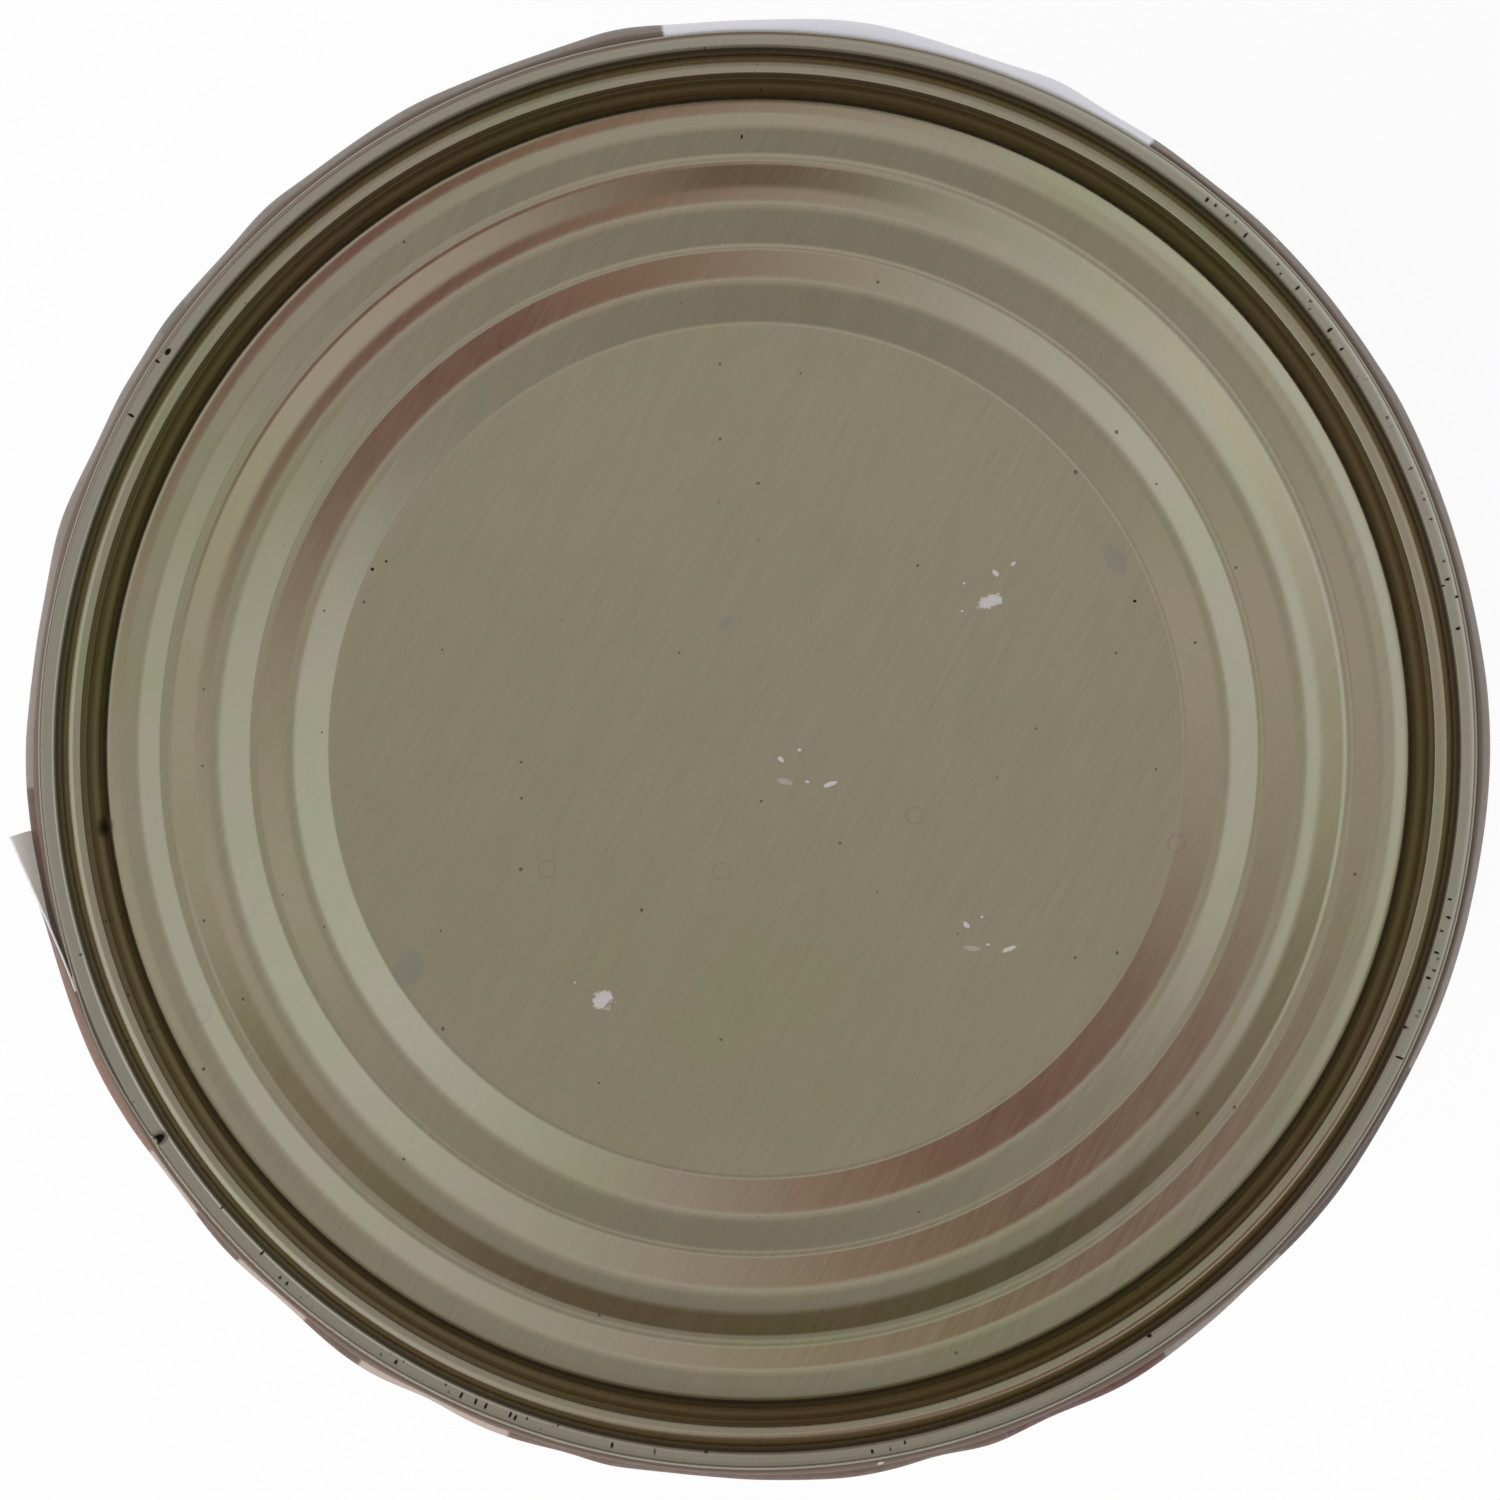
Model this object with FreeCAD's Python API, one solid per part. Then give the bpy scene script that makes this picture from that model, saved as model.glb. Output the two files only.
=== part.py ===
"""A stackable 400 g tinplate can of dog food, standing on its wide end with the necked-in end up.

The can is closed, so its body is one solid from end to end. Each end is a real pressed sheet:
flat centre panel, three ridges, countersink groove, chuck wall and double seam, whose cover
hook is folded under the flange of the body. A paper label is wrapped once round the body.

Origin: centre of the foot ring. +Z: up. Millimetres and degrees.
"""
import FreeCAD, Part
import math
import os

# --- Overall -----------------------------------------------------------------------------
can_height = 110.0          # over both double seams
body_radius = 36.8          # outside of the straight body wall
neck_in = 1.38              # how far the upper end of the body is drawn in, so that cans stack
neck_length = 4.3           # from the land of the seam down to the start of the shoulder
neck_slope = 35.0           # of the shoulder, from the can's axis
neck_blend = 1.6            # radius at both ends of the shoulder

# --- Sheet -------------------------------------------------------------------------------
body_sheet = 0.14           # body wall and flange
end_sheet = 0.18            # both ends

# --- Double seam -------------------------------------------------------------------------
seam_height = 3.0           # from the land down to the foot of the seaming wall
seam_slack = 0.03           # clearance between two layers that are folded together
seam_taper = 3.0            # all its layers lean outwards by this much towards the land
crown_inner_radius = 0.22   # chuck wall into land
crown_outer_radius = 0.30   # land into seaming wall
hook_tip_gap = 0.40         # free space beyond the tip of each hook

# --- End panel: depths go down from the land, runs go inwards from the chuck wall ----------
countersink_depth = 3.40
countersink_width = 1.05    # bottom of the groove
countersink_radius = 0.50
panel_wall_run = 0.98
panel_wall_top = 1.82       # depth at the upper edge of the panel wall
panel_edge_radius = 0.80
valley_radius = 0.4
# each ridge, from the outside in: run of its outer slope, run of its inner slope, land of
# the valley inside it, depth of its crest, depth of that valley, radius over the crest
ridges = (
    (1.01, 1.94, 0.48, 1.61, 1.90, 3.4),
    (1.82, 2.26, 0.35, 1.15, 1.53, 2.0),
    (1.54, 2.04, 0.00, 1.19, 1.62, 1.5),
)

# --- Label -------------------------------------------------------------------------------
label_sheet = 0.12
label_play = 0.08           # how loosely it sits on the body wall
label_foot_gap = 0.4        # from the wide seam up to the lower edge
label_head_gap = 0.8        # from the necked seam down to the upper edge
label_free_edge = 186.3     # angle of the outer edge of the lap
label_lap = 12.0            # angle by which the two ends overlap
lap_gap = 0.05              # between the two layers of the lap
pucker_height = 9.0         # the free upper edge waves over this height
tuck_in = 0.60              # the upper edge leans in by this much over the neck
corner_lift = 0.77          # the upper corner of the lap has come loose by this much
corner_reach = 3.3          # angle over which that falls off
flap_reach = 13.0           # angle from the free edge over which the paper doesn't lean in
corner_height = 14.0        # height over which it falls back
# where the upper edge bulges: angle, half width in degrees, reach outwards
bulges = (
    (3, 6, 0.20), (28, 5, 0.12), (66, 3, 0.32), (82, 6, 0.50), (101, 4, 0.42),
    (119, 4, 0.18), (132, 3, 0.27), (144, 3, 0.22), (151, 3, 0.12), (162, 4, 0.40),
    (182, 6, 0.32), (205, 6, 0.18), (237, 4, 0.38), (258, 3, 0.12), (278, 4, 0.20),
    (288, 3, 0.26), (301, 4, 0.24), (357, 5, 0.12),
)
# where it is pressed against the body: angle, half width, share of its play that is gone
hollows = (
    (52, 4, 0.9), (60, 3, 0.6), (137, 2.5, 0.4), (154, 3, 0.5), (217, 5, 0.95),
    (229, 4, 0.7), (243, 3, 0.9), (255, 3, 0.9), (264, 6, 0.8), (285, 3, 0.8), (294, 3, 0.6),
    (314, 5, 0.9), (331, 7, 0.9),
)

seam_thickness = 3 * end_sheet + 2 * body_sheet + 3 * seam_slack
foot_radius = 0.45 * (2 * end_sheet + body_sheet + 2 * seam_slack)
lean = math.tan(math.radians(seam_taper))
upright = math.cos(math.radians(seam_taper))
shoulder_foot = can_height - neck_length - neck_in / math.tan(math.radians(neck_slope))
label_top = can_height - seam_height - label_head_gap


# --- Outlines: lists of (radius, height) with a corner radius for each point ----------------
def heading(a, b):
    length = math.hypot(b[0] - a[0], b[1] - a[1])
    return (b[0] - a[0]) / length, (b[1] - a[1]) / length


def turn(before, corner, after):
    """Signed angle by which an outline turns at a corner, positive to the left."""
    u = heading(before, corner)
    v = heading(corner, after)
    return math.atan2(u[0] * v[1] - u[1] * v[0], u[0] * v[0] + u[1] * v[1])


def other_face(points, radii, sheet):
    """The far face of a sheet that lies to the right of an outline."""
    last = len(points) - 1
    moved = []
    new_radii = [0.0] * len(points)
    for i, point in enumerate(points):
        u = heading(points[max(i - 1, 0)], points[max(i, 1)])
        v = heading(points[min(i, last - 1)], points[min(i + 1, last)])
        share = sheet / (1.0 + u[0] * v[0] + u[1] * v[1])
        moved.append((point[0] + share * (u[1] + v[1]), point[1] - share * (u[0] + v[0])))
        if 0 < i < last:
            to_left = turn(points[i - 1], point, points[i + 1]) > 0
            new_radii[i] = radii[i] + (sheet if to_left else -sheet)
    return moved, new_radii


def in_section(point):
    return FreeCAD.Vector(point[0], 0, point[1])


def outline(points, radii):
    """Straight edges through the points, with a tangent arc at each rounded corner."""
    edges = []
    start = points[0]
    for i in range(1, len(points) - 1):
        corner = points[i]
        if radii[i] <= 0:
            edges.append(Part.makeLine(in_section(start), in_section(corner)))
            start = corner
            continue
        u = heading(points[i - 1], corner)
        v = heading(corner, points[i + 1])
        half = turn(points[i - 1], corner, points[i + 1]) / 2
        reach = radii[i] * math.tan(abs(half))
        first = (corner[0] - u[0] * reach, corner[1] - u[1] * reach)
        second = (corner[0] + v[0] * reach, corner[1] + v[1] * reach)
        chord = heading(first, second)
        bulge = math.copysign(radii[i] * (1 - math.cos(half)), half)
        middle = ((first[0] + second[0]) / 2 + chord[1] * bulge,
                  (first[1] + second[1]) / 2 - chord[0] * bulge)
        edges.append(Part.makeLine(in_section(start), in_section(first)))
        edges.append(Part.Arc(*[in_section(p) for p in (first, middle, second)]).toShape())
        start = second
    edges.append(Part.makeLine(in_section(start), in_section(points[-1])))
    return edges


def sheet_face(points, radii, sheet):
    """Section of a bent sheet whose outside face is the outline."""
    inside, inside_radii = other_face(points, radii, sheet)
    edges = outline(points, radii)
    edges.append(Part.makeLine(in_section(points[-1]), in_section(inside[-1])))
    edges += outline(inside[::-1], inside_radii[::-1])
    edges.append(Part.makeLine(in_section(inside[0]), in_section(points[0])))
    return Part.Face(Part.Wire(edges))


def turned(face):
    """The solid that a section sweeps once round the can's axis."""
    return face.revolve(FreeCAD.Vector(), FreeCAD.Vector(0, 0, 1), 360)


# --- Ends: built with the land at height 0 and the can below it ----------------------------
def seam_point(wall_radius, across, depth):
    """A point across from the chuck wall and down from the land, on layers that lean."""
    chuck_foot = wall_radius - (body_sheet + end_sheet) / upright
    return chuck_foot + across / upright + (seam_height - depth) * lean, -depth


def panel_path(wall_radius):
    """Outside of an end from its centre to the foot of the chuck wall."""
    chuck_foot = seam_point(wall_radius, 0, countersink_depth)
    path = [(chuck_foot, countersink_radius)]
    radius = chuck_foot[0] - countersink_width
    path.append(((radius, -countersink_depth), countersink_radius))
    radius -= panel_wall_run
    path.append(((radius, -panel_wall_top), panel_edge_radius))
    for outer_run, inner_run, valley_land, crest_depth, valley_depth, crest_radius in ridges:
        radius -= outer_run
        path.append(((radius, -crest_depth), crest_radius))
        radius -= inner_run
        path.append(((radius, -valley_depth), valley_radius))
        if valley_land:
            radius -= valley_land
            path.append(((radius, -valley_depth), valley_radius))
    path.append(((0.0, path[-1][0][1]), 0.0))
    return [point for point, _ in reversed(path)], [corner for _, corner in reversed(path)]


def seam_path(wall_radius):
    """Outside of the seam, from the crown over the seaming wall to the tip of the hook."""
    hook_face = end_sheet + body_sheet + seam_slack
    tip = end_sheet + seam_slack + body_sheet + hook_tip_gap
    spots = ((0.0, 0.0, crown_inner_radius),
             (seam_thickness, 0.0, crown_outer_radius),
             (seam_thickness, seam_height, foot_radius),
             (hook_face, seam_height, foot_radius),
             (hook_face, tip, 0.0))
    points = [seam_point(wall_radius, across, depth) for across, depth, _ in spots]
    return points, [corner for _, _, corner in spots]


def can_end(wall_radius):
    panel, panel_corners = panel_path(wall_radius)
    seam, seam_corners = seam_path(wall_radius)
    return turned(sheet_face(panel + seam, panel_corners + seam_corners, end_sheet))


def at_top(shape):
    shape.translate(FreeCAD.Vector(0, 0, can_height))
    return shape


def at_foot(shape):
    return shape.mirror(FreeCAD.Vector(), FreeCAD.Vector(0, 0, 1))


# --- Body --------------------------------------------------------------------------------
def flange_path(wall_radius):
    """From the back of the chuck wall over the flange and its hook, and down to the neck."""
    inner_radius = 0.45 * (end_sheet + 2 * seam_slack)
    outer_radius = inner_radius + body_sheet
    hook_face = 2 * end_sheet + body_sheet + 2 * seam_slack
    top = end_sheet + seam_slack
    tip = seam_height - end_sheet - hook_tip_gap
    wall = end_sheet + body_sheet
    spots = ((end_sheet, top, outer_radius),
             (hook_face + body_sheet, top, outer_radius),
             (hook_face + body_sheet, tip, 0.0),
             (hook_face, tip, 0.0),
             (hook_face, top + body_sheet, inner_radius),
             (wall, top + body_sheet, inner_radius),
             (wall, seam_height, 0.0))
    points = [seam_point(wall_radius, across, depth) for across, depth, _ in spots]
    return points, [corner for _, _, corner in spots]


def body_end_path(wall_radius):
    """The body where it meets one end: under the panel, up the chuck wall and over the hook."""
    panel, panel_corners = panel_path(wall_radius)
    seam, seam_corners = seam_path(wall_radius)
    inside, inside_corners = other_face(panel + seam, panel_corners + seam_corners, end_sheet)
    flange, flange_corners = flange_path(wall_radius)
    shared = len(panel)
    return inside[:shared] + flange, inside_corners[:shared] + flange_corners


def can_body():
    neck_radius = body_radius - neck_in
    upper, upper_corners = body_end_path(neck_radius)
    lower, lower_corners = body_end_path(body_radius)
    points = [(r, can_height + z) for r, z in upper]
    points += [(neck_radius, can_height - neck_length), (body_radius, shoulder_foot)]
    points += [(r, -z) for r, z in reversed(lower)]
    corners = upper_corners + [neck_blend, neck_blend] + lower_corners[::-1]
    edges = outline(points, corners)
    edges.append(Part.makeLine(in_section(points[-1]), in_section(points[0])))
    return turned(Part.Face(Part.Wire(edges)))


# --- Label -------------------------------------------------------------------------------
def near(angle, spot, half_width):
    """1 at a spot on the round, falling to nothing within a few half widths of it."""
    away = (angle - spot + 180) % 360 - 180
    return math.exp(-(away / half_width) ** 2)


def label_radius(angle, height):
    """Inside of the label, at an angle counted on from its free edge.

    The wall of the body backs the label up to the shoulder, so hollows only take up its play.
    Above the shoulder it leans in, up to an edge that is tucked in over the neck.
    """
    turns = (angle - label_free_edge) / 360
    spiral = label_play + (1 - turns) * (label_sheet + lap_gap)
    play = spiral
    depth = label_top - height
    share_down = min(1.0, depth / pucker_height)
    for spot, half_width, share in hollows:
        play *= 1 - (1 - share_down ** 2) * share * near(angle, spot, half_width)
    for spot, half_width, reach in bulges:
        play += (1 - share_down) ** 2 * reach * near(angle, spot, half_width)
    free = max(0.0, 1 - depth / (label_top - shoulder_foot)) ** 2
    loose = max(0.0, 1 - depth / corner_height) ** 2
    fall = math.exp(-(angle - label_free_edge) / corner_reach)
    stiff = math.exp(-((angle - label_free_edge) / flap_reach) ** 2)
    tuck = free * (1 - stiff) * (play - spiral + tuck_in)
    return body_radius + play - tuck + loose * fall * corner_lift


def label_section(height):
    """The wrapped strip cut at one height: two spiral faces and its two cut ends."""
    steps = 155
    sweep = 360 + label_lap
    sides = []
    for sheet in (0.0, label_sheet):
        points = []
        for i in range(steps + 1):
            angle = label_free_edge + sweep * i / steps
            radius = label_radius(angle, height) + sheet
            across = math.radians(angle)
            points.append(FreeCAD.Vector(radius * math.cos(across), radius * math.sin(across),
                                         height))
        sides.append(points)
    inner, outer = sides
    faces = []
    for points in (inner, outer[::-1]):
        curve = Part.BSplineCurve()
        curve.interpolate(points)
        faces.append(curve.toShape())
    return Part.Wire([faces[0], Part.makeLine(inner[-1], outer[-1]),
                      faces[1], Part.makeLine(outer[0], inner[0])])


def label():
    foot = seam_height + label_foot_gap
    wave_foot = label_top - corner_height
    plain = Part.Face(label_section(foot)).extrude(FreeCAD.Vector(0, 0, wave_foot - foot))
    spans = 8
    heights = [wave_foot + corner_height * i / spans for i in range(spans + 1)]
    waved = Part.makeLoft([label_section(height) for height in heights], True, False)
    return plain.fuse(waved)


# --- Output ------------------------------------------------------------------------------
nodes = {
    "can_body": can_body(),
    "necked_end": at_top(can_end(body_radius - neck_in)),
    "wide_end": at_foot(can_end(body_radius)),
    "label": label(),
}
os.makedirs("parts", exist_ok=True)
for name, shape in nodes.items():
    solid, = shape.Solids
    print(name, "valid", solid.isValid(), "volume", round(solid.Volume, 2))
    solid.exportStep("parts/" + name + ".step")
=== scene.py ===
"""A stackable can of dog food: two lacquered tinplate ends, the can body and a paper label.

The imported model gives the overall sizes. Each piece is made by one operator, from the sizes and
colours in the property groups below, and the stage operator adds floor, light and camera.
Lengths are metres and angles radians, unless a name ends in _MM or _DEG.
"""

import math

import bmesh
import bpy
from bpy.props import FloatProperty, FloatVectorProperty, PointerProperty
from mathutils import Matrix, Vector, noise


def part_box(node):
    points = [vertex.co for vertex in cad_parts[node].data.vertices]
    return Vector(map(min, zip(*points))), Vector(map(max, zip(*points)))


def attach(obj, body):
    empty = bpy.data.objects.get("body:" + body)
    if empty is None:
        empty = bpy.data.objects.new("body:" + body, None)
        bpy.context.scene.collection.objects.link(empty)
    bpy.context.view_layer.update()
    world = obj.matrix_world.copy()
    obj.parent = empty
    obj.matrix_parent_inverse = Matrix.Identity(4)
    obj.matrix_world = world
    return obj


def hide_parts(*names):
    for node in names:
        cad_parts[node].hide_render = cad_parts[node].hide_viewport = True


bl_info = {
    "name": "Can of dog food",
    "version": (1, 0, 0),
    "blender": (4, 5, 0),
    "location": "3D View > Sidebar > Can",
    "description": "Makes a can of dog food with lacquered ends and a paper label",
    "category": "Add Mesh",
}

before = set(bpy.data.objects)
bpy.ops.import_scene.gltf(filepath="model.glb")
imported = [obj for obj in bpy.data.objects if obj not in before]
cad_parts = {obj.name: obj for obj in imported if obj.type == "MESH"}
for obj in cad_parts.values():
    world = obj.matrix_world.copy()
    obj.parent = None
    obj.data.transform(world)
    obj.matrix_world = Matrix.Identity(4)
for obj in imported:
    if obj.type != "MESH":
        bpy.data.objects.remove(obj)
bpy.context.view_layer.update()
CAN_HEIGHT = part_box("necked_end")[1].z
LABEL_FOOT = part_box("label")[0].z
LABEL_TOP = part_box("label")[1].z

MM = 0.001
FULL_TURN = 2 * math.pi
LAMP_PLACE = (-0.7, -0.6, 1.1)

# How finely the pieces are divided: longest step of the ends' outside, the short step beside its
# arcs, angle between the points of an arc, columns round the can of each wall, columns close to the
# nick (half width and step), the label's columns and its rows below and within its waved edge.
LONGEST_STEP_MM = 0.9
SHORT_STEP_MM = 0.04
ARC_STEP_DEG = 4
NECKED_END_COLUMNS = 264
WIDE_END_COLUMNS = 272
BODY_COLUMNS = 360
NICK_COLUMNS_DEG = (1.2, 0.12)
LABEL_COLUMNS = 620
PLAIN_LABEL_ROWS = 6
WAVED_LABEL_ROWS = 30

# Ridges of an end panel, from the outside in: run of the outer slope, run of the nearly level
# shoulder inside it, run of the inner slope, land of the valley inside that, depth of the crest,
# depth of that valley, radius over the crest. The last land runs out into the panel's centre.
RIDGES_MM = (
    (0.70, 0.90, 1.26, 0.48, 1.71, 1.90, 2.2),
    (1.82, 0.00, 2.26, 0.35, 1.15, 1.53, 2.8),
    (1.54, 0.00, 2.04, 1.80, 1.19, 1.62, 2.4),
)

# Upper edge of the label: where it bulges (angle, half width, reach) and where it is pressed
# against the body (angle, half width, share of its play that is gone).
BULGES_DEG = (
    (3, 6, 0.20), (28, 5, 0.12), (66, 3, 0.32), (82, 6, 0.50), (101, 4, 0.42),
    (119, 4, 0.18), (132, 3, 0.27), (144, 3, 0.22), (151, 3, 0.12), (162, 4, 0.40),
    (182, 6, 0.32), (205, 6, 0.18), (237, 4, 0.20), (258, 3, 0.12), (278, 4, 0.20),
    (288, 3, 0.26), (301, 4, 0.24), (357, 5, 0.12),
)
HOLLOWS_DEG = (
    (52, 4, 0.9), (60, 3, 0.6), (137, 2.5, 0.4), (154, 3, 0.5), (217, 5, 0.95),
    (229, 4, 0.85), (243, 3, 0.95), (255, 3, 0.9), (264, 6, 0.8), (285, 3, 0.8), (294, 3, 0.6),
    (314, 5, 0.9), (331, 7, 0.9),
)

# Fine creases of the label: round the can, and along each millimetre of its height.
CREASES_ROUND = 9
CREASES_PER_MM = 0.15

# Print of the label: fields by their first and last angle, counted on past a full turn, the oval
# in front, with its height above the label's foot, and the height of the bands along both edges.
LABEL_FIELDS_DEG = (
    (186, 213.5, "blush"), (213.5, 250, "rose"), (219.5, 224.5, "brown"), (231.5, 237, "brown"),
    (250, 290, "brown"), (290, 304, "maroon"), (316, 334, "slate"), (417, 457.5, "lilac"),
    (502, 505, "moss"), (543, 560, "brown"),
)
OVAL_AT_DEG, OVAL_HALF_WIDTH_DEG = 287.0, 19.0
OVAL_MIDDLE_MM, OVAL_HALF_HEIGHT_MM = 56.0, 30.0
FOOT_BAND_MM, TOP_BAND_MM = 1.8, 0.42

# Marks on the shown end, in millimetres from its middle: across, up, half length, half width,
# and the way their length runs, in degrees.
RUBBED_SPOTS_MM = (
    (11.7, 7.5, 0.62, 0.40, 20), (12.0, 8.9, 0.20, 0.13, 140), (12.9, 9.4, 0.14, 0.09, 40),
    (10.4, 8.4, 0.08, 0.06, 0), (10.3, 7.0, 0.07, 0.05, 0), (1.2, -0.5, 0.20, 0.12, 140),
    (2.1, 0.0, 0.09, 0.07, 0), (2.5, -1.6, 0.13, 0.08, 0), (3.7, -1.7, 0.38, 0.12, 22),
    (-7.8, -12.6, 0.56, 0.44, 35), (-9.2, -11.7, 0.07, 0.06, 0), (10.5, -8.8, 0.20, 0.12, 140),
    (11.3, -8.4, 0.08, 0.06, 0), (11.6, -9.8, 0.12, 0.08, 0), (12.7, -10.0, 0.38, 0.12, 22),
)
FAINT_SPOTS_MM = ((1.4, -1.6, 0.45, 0.15, 170), (10.8, -10.0, 0.45, 0.15, 170))
DRIED_DROPS_MM = (
    (-12.6, 20.6), (-28.0, -13.3), (-1.8, -6.1), (-10.6, -6.0), (7.9, -3.3), (21.1, -4.7),
)
# Soft dark patches; the second is a dark patch painted over the nick in the crown.
SOFT_DARK_PATCHES_MM = ((-32.9, -3.9, 0.68, 0.56, 90), (-30.10, -19.55, 0.80, 0.42, 33))
DARK_SPOTS_MM = (
    (-29.6, 20.0, 0.14, 0.22, 146), (-0.8, 30.9, 0.06, 0.12, 0),
    (19.0, 7.5, 0.10, 0.08, 0), (-19.4, 9.1, 0.10, 0.09, 0), (-18.7, 9.5, 0.07, 0.07, 0),
    # A dark patch painted over the nick in the crown.
    (-30.15, -19.58, 0.52, 0.26, 33),
)
SMUDGES_MM = ((-17.6, -11.0, 1.1, 0.8, 60), (18.0, 9.6, 0.9, 0.5, 120), (-1.5, 6.5, 0.5, 0.3, 30))

# Radii of the upper end in millimetres, by which its dirt and its painted shade lie: where the
# lacquer of the panel passes into that of the land, the middle of the land, the row of dirt along
# it, the chuck wall's inner and outer edge, between which shade is painted, and the outside of the
# seam, beyond which shade is painted over its reflection.
LAND_LACQUER_MM = (34.9, 35.4)
LAND_MIDDLE_MM = 35.65
DIRT_ROW_MM = 35.62
CHUCK_WALL_FOOT_MM = (34.95, 35.05)
CHUCK_WALL_TOP_MM = (35.4, 35.6)
SEAM_OUTSIDE_MM = (36.02, 36.12)

# Where dirt has gathered along the land of the shown seam: first and last angle.
DIRTY_LAND_DEG = ((8, 24), (27, 52), (55, 59), (224, 231), (236, 262), (276, 284), (338, 350),
                  (355, 361))

# Light that metal reflects, as stops by the angle round the axis. Each table comes in over its own
# range of angles off the zenith, and the horizon after the last of them.
NEAR_LIGHT_FROM_DEG = (3.5, 7.0)
HIGH_LIGHT_FROM_DEG = (9.0, 13.0)
LOW_LIGHT_FROM_DEG = (34.0, 46.0)
HORIZON_FROM_DEG = (54.0, 64.0)
NEAR_LIGHT = (
    (0, (0.42, 0.41, 0.41)), (80, (0.52, 0.53, 0.54)), (150, (0.43, 0.48, 0.49)),
    (215, (0.32, 0.34, 0.33)), (285, (0.28, 0.265, 0.25)), (330, (0.34, 0.32, 0.31)),
)
HIGH_LIGHT = (
    (0, (0.58, 0.65, 0.69)), (35, (0.63, 0.70, 0.74)), (60, (0.54, 0.585, 0.61)),
    (75, (0.43, 0.42, 0.42)), (105, (0.30, 0.205, 0.175)), (122, (0.21, 0.115, 0.11)),
    (140, (0.245, 0.16, 0.155)), (180, (0.43, 0.415, 0.41)), (195, (0.50, 0.49, 0.49)),
    (225, (0.355, 0.35, 0.345)), (265, (0.28, 0.275, 0.275)), (315, (0.33, 0.335, 0.34)),
    (345, (0.58, 0.62, 0.64)),
)
LOW_LIGHT = (
    (0, (0.45, 0.455, 0.42)), (38, (0.68, 0.72, 0.71)), (60, (0.52, 0.56, 0.56)),
    (90, (0.17, 0.125, 0.10)), (125, (0.50, 0.475, 0.49)), (145, (0.545, 0.53, 0.55)),
    (180, (0.475, 0.485, 0.48)), (195, (0.44, 0.44, 0.41)), (215, (0.265, 0.245, 0.195)),
    (255, (0.135, 0.11, 0.075)), (300, (0.13, 0.11, 0.075)), (335, (0.26, 0.24, 0.20)),
)


# --- Sizes and colours that a user would change ---------------------------------------------
def length(name, default_mm, description):
    return FloatProperty(name=name, description=description, default=default_mm * MM,
                         unit="LENGTH", precision=6)


def angle(name, default_deg, description):
    return FloatProperty(name=name, description=description, subtype="ANGLE",
                         default=math.radians(default_deg))


def colour(name, default, description):
    return FloatVectorProperty(name=name, description=description, default=default,
                               subtype="COLOR", size=3, min=0.0, max=1.0)


class CanSizes(bpy.types.PropertyGroup):
    height: length("Height", CAN_HEIGHT / MM, "Over both double seams")
    body_radius: length("Body radius", 36.8, "Outside of the straight wall")
    neck_in: length("Neck in", 1.38, "How far the upper end is drawn in")
    neck_length: length("Neck length", 4.3, "From the upper land to the shoulder")
    neck_slope: angle("Neck slope", 35.0, "Of the shoulder, from the can's axis")
    neck_blend: length("Neck blend", 1.6, "Radius at both ends of the shoulder")
    body_sheet: length("Body sheet", 0.14, "Thickness of the body wall")
    end_sheet: length("End sheet", 0.18, "Thickness of both ends")
    side_seam: angle("Side seam", 204.0, "Where the side seam runs down the body")
    side_seam_width: length("Side seam width", 0.9, "Of the welded strip")


class SeamSizes(bpy.types.PropertyGroup):
    height: length("Height", 3.0, "From the land to the foot of the seaming wall")
    slack: length("Slack", 0.03, "Clearance between folded layers")
    taper: angle("Taper", 3.0, "Lean of all its layers")
    crown_inner: length("Inner bend", 0.22, "Radius from the chuck wall into the land")
    land_fall: length("Land fall", 0.014, "The outer part of the land falls by this much")
    land_fall_width: length("Land fall width", 0.40, "Of that part")
    land_blend: length("Land blend", 0.40, "Radius where that part begins")
    crown_outer: length("Outer bend", 0.28, "Radius from the land into the seaming wall")
    hook_tip_gap: length("Hook tip gap", 0.40, "Free space beyond the tip of each hook")
    swell: length("Swell", 0.20, "Where the seam crosses the side seam it stands out this far")
    swell_width: angle("Swell width", 6.5, "Half width of that swell")
    notch: angle("Notch", 213.0, "Where the crown is nicked")
    notch_width: angle("Notch width", 0.30, "Half width of the nick")
    notch_depth: length("Notch depth", 0.16, "How deep the nick is")


class PanelSizes(bpy.types.PropertyGroup):
    countersink_depth: length("Countersink depth", 3.40, "From the land to the groove")
    countersink_width: length("Countersink width", 1.05, "Bottom of the groove")
    countersink_radius: length("Countersink radius", 0.56, "Corners of the groove")
    wall_run: length("Panel wall run", 1.08, "How far the panel wall comes in")
    wall_top: length("Panel wall top", 1.89, "Depth of its upper edge")
    edge_radius: length("Panel edge radius", 1.15, "At its upper edge")
    valley_radius: length("Valley radius", 0.75, "Between the ridges")
    shoulder_slope: angle("Shoulder slope", 2.2, "Of the shoulder on the outermost ridge")
    bead_width: length("Bead width", 0.18, "Outer side of the fine bead in each valley")
    bead_height: length("Bead height", 0.010, "Of the fine bead in each valley")
    unevenness: length("Unevenness", 0.012, "How far the pressed sheet strays")
    unevenness_per_metre: FloatProperty(name="Unevenness per metre", default=55.0,
                                        description="How closely its waves follow each other")
    seed: FloatProperty(name="Seed", description="Another pressed sheet", default=3.0)


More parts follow.
